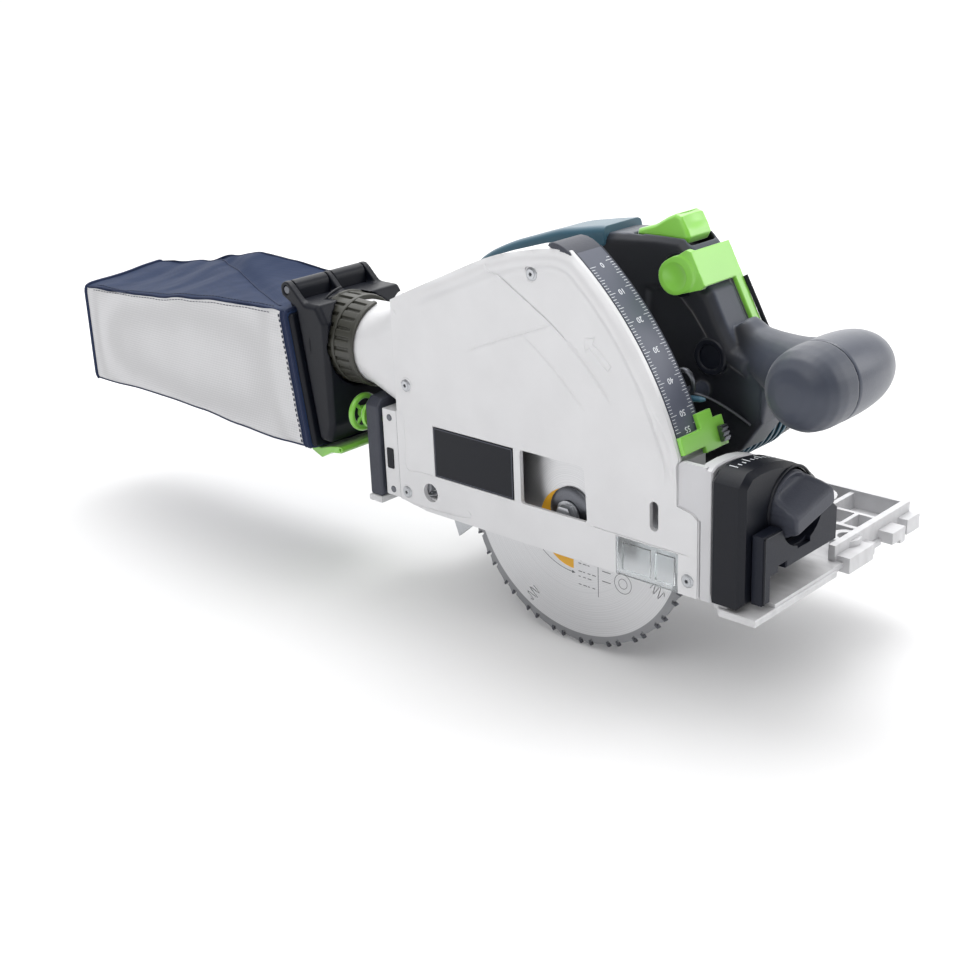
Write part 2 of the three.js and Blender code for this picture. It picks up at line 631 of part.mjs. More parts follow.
// Handle body: a web that closes the front of the loop and a padded rim round the hand opening.
const handleTop = [
  [-120, 96], [-120, 112], [-112, 126.5], [-99, 142], [-88, 150.5], [-70, 158.5], [-35, 169.5], [4, 175.5],
  [30, 177.4], [47.5, 177.4], [53.4, 171.8], [62.8, 154], [66, 152], [74, 136.5], [81.6, 124.6], [94, 121.6],
];
const handleOpening = [
  [-102, 103.5], [0, 103.5], [14, 108], [21, 118], [21, 132], [10, 141.5], [-20, 141.5], [-62, 133], [-86, 122.5],
  [-100, 112],
];
const webOutline = [
  ...handleTop, [100, 119], [101, 108], [99, 98], [97, 86], [84, 68], [58, 52], [31, 31], [24, 20], [8, 12.6],
  [-8, 11.2], [-24, 15.6], [-36, 28], [-39.6, 44], [-40, 90], [-44, 96],
];
const rimOutline = [
  ...handleTop, [88, 108], [70, 116], [53, 138], [41, 149], [28, 147], [27, 98.5], [-44, 98.5], [-44, 96],
];
piece('handle_body', carve(
  [
    prismY([...webOutline].reverse(), 36, 62, [], 1.5),
    prismY([...rimOutline].reverse(), 32.4, 64.4, [], 4),
    prismY(rectangle(80, 113, 102, 124), 38, 60, [], 5),
    turnedY(rod(9.6, 33, 38), 67, 118, 24),
    turnedY(rod(4.6, 20, 38), 60, 98, 12),
  ],
  [
    prismY(handleOpening, 30, 70),
    turnedY(rod(22.3, 30, 70), GRIP_X, GRIP_Z, 48),
    turnedY(rod(6.6, 30, 44), 67, 118, 20),
    turnedY(rod(6, 30, 70), MOTOR_X, MOTOR_Z, 20),
    box(-14, 19, 40, 58, 128, 153),
    box(13.5, 50.5, 37, 59.4, 169, 185),
    prismY([[62, 157], [68, 156], [85, 124], [79.3, 121.5], [63.2, 150.8]], 55.2, 70),
    turnedY(rod(9.9, 44.6, 53.4), -113.5, 106, 24),
  ]), CHARCOAL);

// Soft pad along the top of the handle.
const padLine = [[-110, 129.6], [-98.6, 143.2], [-87.6, 151.6], [-70, 159.6], [-35, 170.6], [3, 176.6]];
piece('handle_pad', prismY(
  [...padLine, ...[...padLine].reverse().map(([x, z]) => [x - 0.5, z + 2.6])].reverse(), 37, 61, [], 0.8),
TEAL_PLASTIC);

// Transverse front grip in two halves.
const nearHalf = [
  [0, 7.5], [7.5, 8.1], [13.6, 10.6], [18.2, 15], [20.9, 20.6], [21.9, 27], [22, 37.8], [0, 37.8],
];
const farHalf = [
  [0, 38.2], [22, 38.2], [22, 52], [21.4, 62], [19.8, 73], [16.8, 82], [12, 88.2], [6.4, 90.6], [0, 91],
];
piece('grip_near', turnedY(nearHalf, GRIP_X, GRIP_Z, 32), CHARCOAL);
piece('grip_far', turnedY(farHalf, GRIP_X, GRIP_Z, 32), CHARCOAL);

piece('trigger', prismY(
  [[-12, 131], [-6, 127.5], [4, 126.5], [12, 128.5], [17.4, 134], [17.4, 146], [-12, 146]], 40.6, 57.4, [], 1.2),
LIME_PLASTIC);
piece('plunge_release', prismY(
  [[15, 175], [16, 178.4], [27, 181.8], [35, 186.6], [40, 188.8], [44, 187.6], [47.4, 182], [49.4, 177.6], [47, 173.5]],
  37.6, 58.8, [], 1.5), LIME_PLASTIC);

// Quick-change lever: pad on the near side, band round the front of the post, strip below.
piece('quick_lever', carve([
  prismY(hullOfDiscs([[46.8, 158.4, 9.6], [50, 160.2, 9.8]], 20), 27.4, 32),
  prismY([[44, 166.8], [54.6, 173.6], [57, 173], [66, 156], [64, 153.8], [48, 148.9]], 28, 32),
  prismY([[54.6, 171.7], [57.2, 173], [66.3, 156], [63.7, 154.6]], 28, 62.4),
  prismY([[63.8, 154.8], [66.2, 156], [81.9, 126.4], [79.6, 125.2]], 55.8, 62.4),
]), LIME_PLASTIC);

piece('speed_dial', carve(
  [turnedY(rod(9.5, 45, 53), -113.5, 106, 24)],
  [turnedY(rod(2.4, 51.5, 56), -113.5, 106, 12)]), BLACK_PLASTIC);

// Motor housing behind the handle body, hollow, with the cooling cap at its outer end.
const motorOutline = (shrink) => hullOfDiscs([[MOTOR_X, MOTOR_Z, 34 - shrink], [30, 62, 26 - shrink]], 32);
piece('motor_housing', carve(
  [prismY(motorOutline(0), 62.4, 130, [], 1)],
  [
    prismY(motorOutline(3.2), 66, 140),
    turnedY(rod(12, 60, 70), MOTOR_X, MOTOR_Z, 20),
    ...[0, 1, 2, 3, 4].map((i) => box(20, 80, 72 + 11 * i, 76 + 11 * i, 46, 56)),
  ]), TEAL_PLASTIC);
const capSlots = [];
for (let i = 0; i < 10; i++) {
  const angle = 2 * Math.PI * i / 10;
  const at = (radius) => [MOTOR_X + radius * Math.cos(angle), MOTOR_Z + radius * Math.sin(angle), 2];
  capSlots.push(prismY(hullOfDiscs([at(15), at(25)], 8), 130, 150));
}
piece('motor_cap', carve(
  [
    prismY(motorOutline(0), 130.4, 144, [], 3),
    turnedY(sleeve(9.4, 12.4, 120.6, 142), MOTOR_X, MOTOR_Z, 24),
  ],
  [
    carve([prismY(motorOutline(3.2), 125, 140.4)], [turnedY(rod(12.4, 120, 145), MOTOR_X, MOTOR_Z, 24)]),
    ...capSlots,
  ]), BLACK_PLASTIC);
piece('stator', turnedY(sleeve(17.4, 30.2, 70, 112), MOTOR_X, MOTOR_Z, 28), COPPER);
piece('control_board', box(33, 43, 72, 122, 48, 70), BOARD_GREEN);

// Turning parts of the motor
piece('armature', carve([
  turnedY([[0, 15.6], [2.6, 15.6], [2.6, 27], [4, 27], [4, 71], [16.6, 71], [16.6, 111], [4, 111], [4, 127.6], [0, 127.6]],
    MOTOR_X, MOTOR_Z, 24),
  prismY(toothedWheel(MOTOR_X, MOTOR_Z, PINION_TEETH, MOTOR_DIRECTION + Math.PI + Math.PI / PINION_TEETH), 16, 26),
]), DARK_STEEL);
const blades = [];
for (let i = 0; i < 9; i++) {
  const angle = 2 * Math.PI * i / 9;
  const along = (radius, lead) => [
    MOTOR_X + radius * Math.cos(angle + lead), MOTOR_Z + radius * Math.sin(angle + lead), 0.9,
  ];
  blades.push(prismY(hullOfDiscs([along(10, 0), along(26.5, 0.25)], 6), 113.4, 118.8));
}
piece('fan', carve([turnedY(sleeve(4.3, 28.6, 112.6, 114), MOTOR_X, MOTOR_Z, 28), ...blades,
  turnedY(sleeve(4.3, 10.4, 112.6, 118.8), MOTOR_X, MOTOR_Z, 16)]), BLACK_PLASTIC);
piece('motor_bearing_front', turnedY(sleeve(4.3, 9, 28.3, 34.3), MOTOR_X, MOTOR_Z, 20), STEEL);
piece('motor_bearing_rear', turnedY(sleeve(4.3, 9.1, 121.2, 127.2), MOTOR_X, MOTOR_Z, 20), STEEL);

// Turning parts of the arbor
piece('arbor_bearing', turnedY(sleeve(5.4, 11, 9.4, 15), ARBOR_X, ARBOR_Z, 20), STEEL);
piece('drive_gear', carve(
  [prismY(toothedWheel(ARBOR_X, ARBOR_Z, GEAR_TEETH, MOTOR_DIRECTION), 17, 25)],
  [turnedY(rod(5.3, 10, 30), ARBOR_X, ARBOR_Z, 16)]), DARK_STEEL);
piece('spindle', turnedY(
  [[0, 12.4], [4.3, 12.4], [4.3, -0.2], [5, -0.2], [5, 32.4], [0, 32.4]], ARBOR_X, ARBOR_Z, 16), STEEL);
piece('inner_flange', turnedY(
  [[5.3, -0.6], [9.7, -0.6], [9.7, 1.2], [17, 1.2], [17, 2.6], [12, 4.6], [5.3, 4.6], [5.3, -0.6]],
  ARBOR_X, ARBOR_Z, 24), DARK_STEEL);
piece('outer_flange', turnedY(
  [[4.4, -4.2], [11, -4.2], [15, -2.4], [15, -1.2], [4.4, -1.2], [4.4, -4.2]], ARBOR_X, ARBOR_Z, 24), DARK_STEEL);
piece('blade_bolt', carve([
  turnedY([[0, -5.6], [8, -5.6], [8, -4.5], [4, -4.5], [4, 11.8], [0, 11.8]], ARBOR_X, ARBOR_Z, 16),
  prismY(circle(ARBOR_X, ARBOR_Z, 6.2, 6), -9.2, -5),
]), STEEL);

// Saw blade: teeth lean forward in the turning direction, with a gullet before each.
const bladeOutline = [];
for (let i = 0; i < TOOTH_COUNT; i++) {
  const at = (radius, share) => {
    const angle = -(i + share) * 2 * Math.PI / TOOTH_COUNT;
    return [ARBOR_X + radius * Math.cos(angle), ARBOR_Z + radius * Math.sin(angle)];
  };
  bladeOutline.push(at(BLADE_RADIUS, 0), at(BLADE_RADIUS - 0.7, 0.24), at(BLADE_RADIUS - 2.8, 0.62),
    at(BLADE_RADIUS - 6, 0.82), at(BLADE_RADIUS - 5, 1.02));
}
piece('saw_blade', prismY(bladeOutline, -BLADE_HALF, BLADE_HALF, [circle(ARBOR_X, ARBOR_Z, BLADE_BORE, 24)]), STEEL);

// Riving knife behind the blade, with its carrier arm ending in a ring round the arbor nose.
const knifeFrom = 150 * DEG;
const knifeTo = 203 * DEG;
piece('riving_knife', carve(
  [
    prismY([...arc(ARBOR_X, ARBOR_Z, 97.5, knifeFrom, knifeTo, 10), ...arc(ARBOR_X, ARBOR_Z, 83, knifeTo - 3 * DEG, knifeFrom, 10)],
      -0.9, 0.9),
    prismY(band(ARBOR_X, ARBOR_Z, 84, 96.5, 158 * DEG, 176 * DEG, 3), -0.9, 8.2),
    prismY(hullOfDiscs([[-88, 45, 6], [-86, 33, 6], [-12, 28, 8]], 12), 5.6, 8.2),
    turnedY(rod(18.4, 5.6, 8.2), ARBOR_X, ARBOR_Z, 24),
  ],
  [turnedY(rod(12, 0, 20), ARBOR_X, ARBOR_Z, 20)]), STEEL);

// Battery: docking deck with T rails, pack with a T shoe, release button.
piece('battery_dock', carve(
  [
    box(-138, -44, 66, 146, 96.4, 102),
    box(-138, -44, 92.2, 95.8, 89.2, 97), box(-138, -44, 126.4, 130, 89.2, 97),
    box(-138, -44, 92.2, 99.6, 89.2, 91.6), box(-138, -44, 122.6, 130, 89.2, 91.6),
    box(-47, -42, 66, 146, 72, 102),
  ]), BLACK_PLASTIC);
const packEnd = [[76, 36], [79, 33], [143, 33], [146, 36], [146, 84], [142, 88.4], [122.3, 88.4], [122.3, 91.9],
  [126, 91.9], [126, 95.8], [96.2, 95.8], [96.2, 91.9], [99.9, 91.9], [99.9, 88.4], [80, 88.4], [76, 84]];
piece('battery_pack', carve([prismX(packEnd, -137, -48)],
  [box(-138, -128, 104, 118, 70, 82.4), box(-120, -60, 70, 77, 48, 72)]), BLACK_PLASTIC);
piece('battery_button', box(-139.2, -132, 104.6, 117.4, 70.6, 81.8), LIME_PLASTIC);

export default saw;
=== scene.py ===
"""Looks of the track plunge saw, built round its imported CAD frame.

Lengths in the shape tables are millimetres from the blade: X forward, Y to the motor side, Z up,
with the blade in the plane y = 0 and the sole's underside at z = 0. at() turns them into the row frame.
"""

import math

import bmesh
import bpy
from mathutils import Matrix, Vector, noise
from mathutils.geometry import delaunay_2d_cdt


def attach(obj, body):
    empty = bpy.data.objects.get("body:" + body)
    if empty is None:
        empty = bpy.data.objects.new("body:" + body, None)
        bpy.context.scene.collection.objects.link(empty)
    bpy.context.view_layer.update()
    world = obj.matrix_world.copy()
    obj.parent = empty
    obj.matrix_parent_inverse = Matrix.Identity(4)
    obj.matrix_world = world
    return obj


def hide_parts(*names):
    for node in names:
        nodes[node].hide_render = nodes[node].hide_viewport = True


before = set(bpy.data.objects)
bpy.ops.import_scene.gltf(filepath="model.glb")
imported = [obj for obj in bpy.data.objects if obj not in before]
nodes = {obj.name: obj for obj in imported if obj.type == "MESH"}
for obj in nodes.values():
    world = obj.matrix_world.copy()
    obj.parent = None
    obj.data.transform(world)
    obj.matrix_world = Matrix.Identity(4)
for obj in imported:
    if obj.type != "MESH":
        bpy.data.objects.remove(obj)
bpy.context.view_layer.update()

MM = 0.001
BLADE_TO_ROW_Y = -68.0

# Places shared with the CAD frame, in millimetres from the blade.
ARBOR = (0.0, 25.0)
PIVOT = (-108.0, 18.0)
SCALE_RADIUS = 197.0
GUARD_FACE = -12.0
BLADE_FACE = -0.9

# Shading and clean-up of meshes.
SMOOTH_ANGLE = math.radians(38)
FLAT_ANGLE = math.radians(0.6)
WELD_GAP = 0.00001


def at(x, y, z):
    """A point in millimetres from the blade, as a vector in the row frame in metres."""
    return Vector((x * MM, (y + BLADE_TO_ROW_Y) * MM, z * MM))


# ---- camera ---------------------------------------------------------------

CAMERA_AZIMUTH = math.radians(43.95)
CAMERA_ELEVATION = math.radians(21.07)
CAMERA_ROLL = math.radians(-2.45)
CAMERA_TARGET = at(-70.47, 0.0, 26.66)
CAMERA_DISTANCE = 0.8909
CAMERA_LENS = 56.99


def make_camera():
    back = Vector((
        math.sin(CAMERA_AZIMUTH) * math.cos(CAMERA_ELEVATION),
        -math.cos(CAMERA_AZIMUTH) * math.cos(CAMERA_ELEVATION),
        math.sin(CAMERA_ELEVATION),
    ))
    level_right = Vector((math.cos(CAMERA_AZIMUTH), math.sin(CAMERA_AZIMUTH), 0.0))
    level_up = back.cross(level_right)
    cos_roll, sin_roll = math.cos(CAMERA_ROLL), math.sin(CAMERA_ROLL)
    right = level_right * cos_roll + level_up * sin_roll
    up = level_up * cos_roll - level_right * sin_roll
    data = bpy.data.cameras.new("camera")
    data.lens = CAMERA_LENS
    data.sensor_width = 36.0
    data.clip_start = 0.01
    camera = bpy.data.objects.new("camera", data)
    bpy.context.scene.collection.objects.link(camera)
    turn = Matrix((right, up, back)).transposed().to_4x4()
    camera.matrix_world = Matrix.Translation(CAMERA_TARGET + back * CAMERA_DISTANCE) @ turn
    bpy.context.scene.camera = camera


make_camera()

# ---- materials ------------------------------------------------------------


class Shade:
    """A Principled material whose noise layers are laid out in object coordinates, in metres."""

    def __init__(self, name):
        self.material = bpy.data.materials.new(name)
        self.material.use_nodes = True
        self.tree = self.material.node_tree
        self.shader = self.tree.nodes["Principled BSDF"]
        self.coordinates = self.add("ShaderNodeTexCoord").outputs["Object"]
        self.height = None

    def add(self, kind, **settings):
        node = self.tree.nodes.new(kind)
        for key, value in settings.items():
            setattr(node, key, value)
        return node

    def link(self, source, target):
        self.tree.links.new(source, target)

    def set(self, **values):
        for key, value in values.items():
            self.shader.inputs[key.replace("_", " ")].default_value = value
        return self

    def noise(self, scale, detail=2.0, stretch=(1.0, 1.0, 1.0)):
        mapping = self.add("ShaderNodeMapping")
        mapping.inputs["Scale"].default_value = stretch
        self.link(self.coordinates, mapping.inputs["Vector"])
        texture = self.add("ShaderNodeTexNoise")
        texture.inputs["Scale"].default_value = scale
        texture.inputs["Detail"].default_value = detail
        self.link(mapping.outputs["Vector"], texture.inputs["Vector"])
        return texture.outputs["Fac"]

    def wave(self, scale, direction):
        texture = self.add("ShaderNodeTexWave", wave_type="BANDS", bands_direction=direction)
        texture.inputs["Scale"].default_value = scale
        self.link(self.coordinates, texture.inputs["Vector"])
        return texture.outputs["Fac"]

    def between(self, value, low, high, start=0.0, end=1.0, **settings):
        """The value, as it runs from start to end, mapped onto low to high."""
        node = self.add("ShaderNodeMapRange", **settings)
        sockets = ("From Min", "From Max", "To Min", "To Max")
        for socket, number in zip(sockets, (start, end, low, high)):
            node.inputs[socket].default_value = number
        self.link(value, node.inputs["Value"])
        return node.outputs["Result"]

    def from_axis(self, x, z):
        """Offset and distance, in metres, from the line along Y through a point in millimetres."""
        centre = at(x, 0, z)
        flat = self.add("ShaderNodeVectorMath", operation="MULTIPLY")
        flat.inputs[1].default_value = (1.0, 0.0, 1.0)
        self.link(self.coordinates, flat.inputs[0])
        away = self.add("ShaderNodeVectorMath", operation="SUBTRACT")
        away.inputs[1].default_value = (centre.x, 0.0, centre.z)
        self.link(flat.outputs[0], away.inputs[0])
        length = self.add("ShaderNodeVectorMath", operation="LENGTH")
        self.link(away.outputs[0], length.inputs[0])
        return away.outputs[0], length.outputs["Value"]

    def colours(self, value, low, high, start=0.0, end=1.0):
        ramp = self.add("ShaderNodeValToRGB")
        ramp.color_ramp.elements[0].position = start
        ramp.color_ramp.elements[0].color = (*low, 1.0)
        ramp.color_ramp.elements[1].position = end
        ramp.color_ramp.elements[1].color = (*high, 1.0)
        self.link(value, ramp.inputs["Fac"])
        return ramp.outputs["Color"]

    def blend(self, factor, first, second):
        node = self.add("ShaderNodeMix", data_type="RGBA")
        for socket, value in ((0, factor), (6, first), (7, second)):
            if isinstance(value, (int, float, tuple)):
                node.inputs[socket].default_value = value
            else:
                self.link(value, node.inputs[socket])
        return node.outputs[2]

    def bump(self, value, depth, strength=1.0):
        """Adds a height layer; depth is in metres."""
        node = self.add("ShaderNodeBump")
        node.inputs["Distance"].default_value = depth
        node.inputs["Strength"].default_value = strength
        self.link(value, node.inputs["Height"])
        if self.height is not None:
            self.link(self.height, node.inputs["Normal"])
        self.height = node.outputs["Normal"]
        self.link(self.height, self.shader.inputs["Normal"])
        return self

    def base(self, socket):
        self.link(socket, self.shader.inputs["Base Color"])
        return self

    def rough(self, socket):
        self.link(socket, self.shader.inputs["Roughness"])
        return self


def linear(colour):
    """A screen colour given as three numbers up to 255, as linear light."""
    return tuple(((c / 255 + 0.055) / 1.055) ** 2.4 if c > 10 else c / 255 / 12.92 for c in colour)


def tinted(colour, factor):
    return tuple(min(1.0, c * factor) for c in colour)


def moulded(name, colour, roughness, grain_size=0.0006, grain_depth=0.00003, mottle=0.06, **sockets):
    """Moulded or painted surface: fine grain, slight mottling of colour and gloss."""
    shade = Shade(name)
    rgb = linear(colour)
    broad = shade.noise(38.0, 3.0)
    fine = shade.noise(1.0 / grain_size, 2.0)
    shade.base(shade.colours(broad, tinted(rgb, 1 - mottle), tinted(rgb, 1 + mottle), 0.3, 0.7))
    shade.rough(shade.between(fine, roughness - 0.06, roughness + 0.06))
    shade.bump(fine, grain_depth)
    return shade.set(**sockets).material


def cast_metal(name, colour, roughness, metallic):
    """Die-cast alloy: soft flow marks, fine pitting."""
    shade = Shade(name)
    rgb = linear(colour)
    flow = shade.noise(60.0, 4.0, (1.0, 2.5, 1.0))
    pits = shade.noise(2600.0, 2.0)
    shade.base(shade.colours(flow, tinted(rgb, 0.88), tinted(rgb, 1.06), 0.3, 0.72))
    shade.rough(shade.between(pits, roughness - 0.08, roughness + 0.1))
    shade.bump(flow, 0.00012, 0.5).bump(pits, 0.00003)
    return shade.set(Metallic=metallic).material


def ground_metal(name, colour, roughness, stretch, metallic=1.0, **sockets):
    """Ground or brushed metal: long fine scratches."""
    shade = Shade(name)
    rgb = linear(colour)
    scratch = shade.noise(700.0, 3.0, stretch)
    shade.base(shade.colours(scratch, tinted(rgb, 0.8), tinted(rgb, 1.08), 0.3, 0.7))
    shade.rough(shade.between(scratch, roughness - 0.08, roughness + 0.1))
    shade.bump(scratch, 0.000012)
    return shade.set(Metallic=metallic, **sockets).material


SILVER = moulded("silver_paint", (212, 212, 214), 0.42, 0.0009, 0.000012, 0.025, Metallic=0.12,
                 Coat_Weight=0.2, Coat_Roughness=0.3)
SILVER_EDGE = moulded("silver_paint_edge", (212, 212, 214), 0.36, 0.0009, 0.00001, 0.03, Metallic=0.15)
SILVER_BLOCK = moulded("silver_paint_block", (196, 196, 199), 0.42, 0.0009, 0.000012, 0.03, Metallic=0.12)
CAST = cast_metal("cast_alloy", (204, 204, 206), 0.5, 0.12)
CHARCOAL = moulded("charcoal_plastic", (20, 24, 36), 0.5, 0.0007, 0.00004, 0.07, Specular_IOR_Level=0.28)
TEXTURED = moulded("charcoal_textured", (54, 57, 68), 0.55, 0.0011, 0.00012, 0.1)
BLACK = moulded("black_plastic", (13, 16, 25), 0.42, 0.0007, 0.00004, 0.07, Specular_IOR_Level=0.26)
SCALE_GREY = moulded("scale_grey", (84, 88, 101), 0.42, 0.0007, 0.00003, 0.05)
GRIP = moulded("soft_grip", (60, 65, 78), 0.36, 0.0009, 0.00008, 0.06, Specular_IOR_Level=0.6,
               Sheen_Weight=0.15, Sheen_Roughness=0.4)
TEAL = moulded("teal_plastic", (44, 84, 102), 0.42, 0.0008, 0.00003, 0.06, Sheen_Weight=0.2,
               Sheen_Roughness=0.4)
LIME = moulded("lime_plastic", (126, 196, 66), 0.36, 0.0008, 0.000015, 0.03, Sheen_Weight=0.55,
               Sheen_Roughness=0.35, Coat_Weight=0.7, Coat_Roughness=0.25)
OLIVE = moulded("olive_grey_plastic", (52, 52, 46), 0.4, 0.0008, 0.00003, 0.08)
STEEL = ground_metal("steel", (190, 192, 196), 0.3, (1.0, 1.0, 14.0))
DARK_STEEL = ground_metal("dark_steel", (110, 112, 118), 0.34, (1.0, 1.0, 10.0))
COPPER = ground_metal("copper_winding", (186, 112, 66), 0.4, (1.0, 12.0, 1.0))
BOARD = moulded("circuit_board", (40, 104, 66), 0.5, 0.0012, 0.00006, 0.12)
PRINT_WHITE = moulded("white_print", (224, 227, 232), 0.55, 0.0005, 0.00001, 0.03)

# ---- mesh helpers ---------------------------------------------------------


def smoothing_group():
    """Geometry nodes that smooth every edge flatter than the smoothing angle."""
    group = bpy.data.node_groups.new("smooth_by_angle", "GeometryNodeTree")
    group.interface.new_socket("Geometry", in_out="INPUT", socket_type="NodeSocketGeometry")
    group.interface.new_socket("Geometry", in_out="OUTPUT", socket_type="NodeSocketGeometry")
    add = group.nodes.new
    source, target = add("NodeGroupInput"), add("NodeGroupOutput")
    faces, edges = add("GeometryNodeSetShadeSmooth"), add("GeometryNodeSetShadeSmooth")
    edges.domain = "EDGE"
    angle, flatter = add("GeometryNodeInputMeshEdgeAngle"), add("FunctionNodeCompare")
    flatter.operation = "LESS_THAN"
    flatter.inputs["B"].default_value = SMOOTH_ANGLE
    group.links.new(source.outputs[0], faces.inputs["Geometry"])
    group.links.new(faces.outputs[0], edges.inputs["Geometry"])
    group.links.new(angle.outputs["Unsigned Angle"], flatter.inputs["A"])
    group.links.new(flatter.outputs["Result"], edges.inputs["Shade Smooth"])
    group.links.new(edges.outputs[0], target.inputs[0])
    return group


SMOOTH_BY_ANGLE = smoothing_group()


def soften(piece, width, merge=False):
    """Rounds the edges of a piece by width millimetres and shades its curved faces smooth."""
    if merge:
        piece.modifiers.new("weld", "WELD").merge_threshold = WELD_GAP
        flatten = piece.modifiers.new("flatten", "DECIMATE")
        flatten.decimate_type = "DISSOLVE"
        flatten.angle_limit = FLAT_ANGLE
    if width:
        bevel = piece.modifiers.new("round", "BEVEL")
        bevel.width = width * MM
        bevel.segments = 2
        bevel.limit_method = "ANGLE"
        bevel.angle_limit = SMOOTH_ANGLE
        bevel.use_clamp_overlap = True
        if len(piece.data.materials) > 1:
            bevel.material = 1
    piece.modifiers.new("smooth", "NODES").node_group = SMOOTH_BY_ANGLE
    piece.modifiers.new("normals", "WEIGHTED_NORMAL").keep_sharp = True


def add_piece(name, mesh, body, *materials, replaces=(), slot=None):
    """A new piece riding on a CAD body; its mesh is already in the row frame."""
    piece = bpy.data.objects.new(name, mesh)
    bpy.context.scene.collection.objects.link(piece)
    for material in materials:
        mesh.materials.append(material)
    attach(piece, body)
    if replaces:
        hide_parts(*replaces)
    return piece


def mesh_of(name, points, faces):
    """Mesh of points in millimetres from the blade."""
    mesh = bpy.data.meshes.new(name)
    mesh.from_pydata([at(*p) for p in points], [], faces)
    mesh.validate()
    return outward(mesh)


def outward(mesh, merge=0.0):
    """Joins points closer than merge metres and turns every face outward."""
    work = bmesh.new()
    work.from_mesh(mesh)
    if merge:
        bmesh.ops.remove_doubles(work, verts=work.verts, dist=merge)
    bmesh.ops.recalc_face_normals(work, faces=work.faces)
    work.to_mesh(mesh)
    work.free()
    return mesh


def baked(curve):
    """The mesh of a curve, which is removed."""
    holder = bpy.data.objects.new(curve.name, curve)
    mesh = bpy.data.meshes.new_from_object(holder)
    bpy.data.objects.remove(holder)
    bpy.data.curves.remove(curve)
    return mesh


def joined(name, meshes):
    """One mesh of several."""
    work = bmesh.new()
    for mesh in meshes:
        work.from_mesh(mesh)
    result = bpy.data.meshes.new(name)
    work.to_mesh(result)
    work.free()
    return result


def arc(centre, radius, start, end, steps):
    """Points of an arc in degrees, both ends included."""
    points = []
    for i in range(steps + 1):
        angle = math.radians(start + (end - start) * i / steps)
        points.append((centre[0] + radius * math.cos(angle), centre[1] + radius * math.sin(angle)))
    return points


def spread(first, last, steps):
    """Evenly spaced numbers, both ends included."""
    return [first + (last - first) * i / steps for i in range(steps + 1)]


def circle(centre, radius, steps=48):
    """Points of a full circle, without repeating the first."""
    return arc(centre, radius, 0, 360 - 360 / steps, steps - 1)


def oblong(x0, z0, x1, z1):
    return [(x0, z0), (x1, z0), (x1, z1), (x0, z1)]


def closed(points):
    """The outline with its first point repeated at the end."""
    return points + points[:1]


def step(value, low, high):
    """Soft step from 0 at low to 1 at high."""
    t = max(0.0, min(1.0, (value - low) / (high - low)))
    return t * t * (3 - 2 * t)


def rounded(points, radius, steps=5):
    """The outline with its corners rounded; radius may be one number or one for each corner."""
    result = []
    count = len(points)
    for i, corner in enumerate(points):
        own = radius[i] if isinstance(radius, (list, tuple)) else radius
        before, here, after = Vector(points[i - 1]), Vector(corner), Vector(points[(i + 1) % count])
        to_before, to_after = before - here, after - here
        reach = min(own, to_before.length * 0.45, to_after.length * 0.45)
        start = here + to_before.normalized() * reach
        end = here + to_after.normalized() * reach
        for k in range(steps + 1):
            t = k / steps
            result.append(tuple(start * (1 - t) ** 2 + here * 2 * t * (1 - t) + end * t * t))
    return result


def smoothed(points, per_span=6):
    """A Catmull-Rom line through the points."""
    last = len(points) - 1

    def pick(i):
        return Vector(points[min(max(i, 0), last)])

    result = []
    for i in range(last):
        a, b, c, d = pick(i - 1), pick(i), pick(i + 1), pick(i + 2)
        for k in range(per_span):
            t = k / per_span
            result.append(0.5 * ((2 * b) + (c - a) * t + (2 * a - 5 * b + 4 * c - d) * t * t
                                 + (3 * b - a - 3 * c + d) * t ** 3))
    result.append(pick(last))
    return [tuple(p) for p in result]


def plate(name, outlines, low, high, axis="y", bevel=0.0, rings=3):
    """Flat mesh with rounded edges between two planes. The first outline is the rim, the rest are holes."""
    curve = bpy.data.curves.new(name, "CURVE")
    curve.dimensions = "2D"
    curve.fill_mode = "BOTH"
    for outline in outlines:
        spline = curve.splines.new("POLY")
        spline.points.add(len(outline) - 1)
        for point, (u, v) in zip(spline.points, outline):
            point.co = (u, v, 0.0, 1.0)
        spline.use_cyclic_u = True
    curve.extrude = (high - low) / 2 - bevel
    curve.bevel_depth = bevel
    curve.bevel_resolution = rings
    curve.offset = -bevel
    mesh = baked(curve)
    mesh.name = name
    middle = (low + high) / 2
    for vertex in mesh.vertices:
        u, v, w = vertex.co
        if axis == "y":
            vertex.co = at(u, middle - w, v)
        elif axis == "x":
            vertex.co = at(middle + w, u, v)
        else:
            vertex.co = at(u, v, middle + w)
    return outward(mesh, 0.000002)


def loft(name, rings, closed_ends=True):
    """Skin over rings with the same number of points."""
    points = [p for ring in rings for p in ring]
    count = len(rings[0])
    faces = []
    for i in range(len(rings) - 1):
        for k in range(count):
            n = (k + 1) % count
            faces.append((i * count + k, i * count + n, (i + 1) * count + n, (i + 1) * count + k))
    if closed_ends:
        faces.append(tuple(range(count))[::-1])
        faces.append(tuple((len(rings) - 1) * count + k for k in range(count)))
    return mesh_of(name, points, faces)


def turned(name, profile, centre, axis="y", steps=64):
    """Turned mesh. The profile gives radius and place along the axis; centre is the other coordinates."""
    rings = []
    for radius, along in profile:
        ring = []
        for k in range(steps):
            angle = 2 * math.pi * k / steps
            u = centre[0] + max(radius, 0.001) * math.cos(angle)
            v = centre[1] + max(radius, 0.001) * math.sin(angle)
            ring.append((u, along, v) if axis == "y" else (along, u, v))
        rings.append(ring)
    return loft(name, rings)


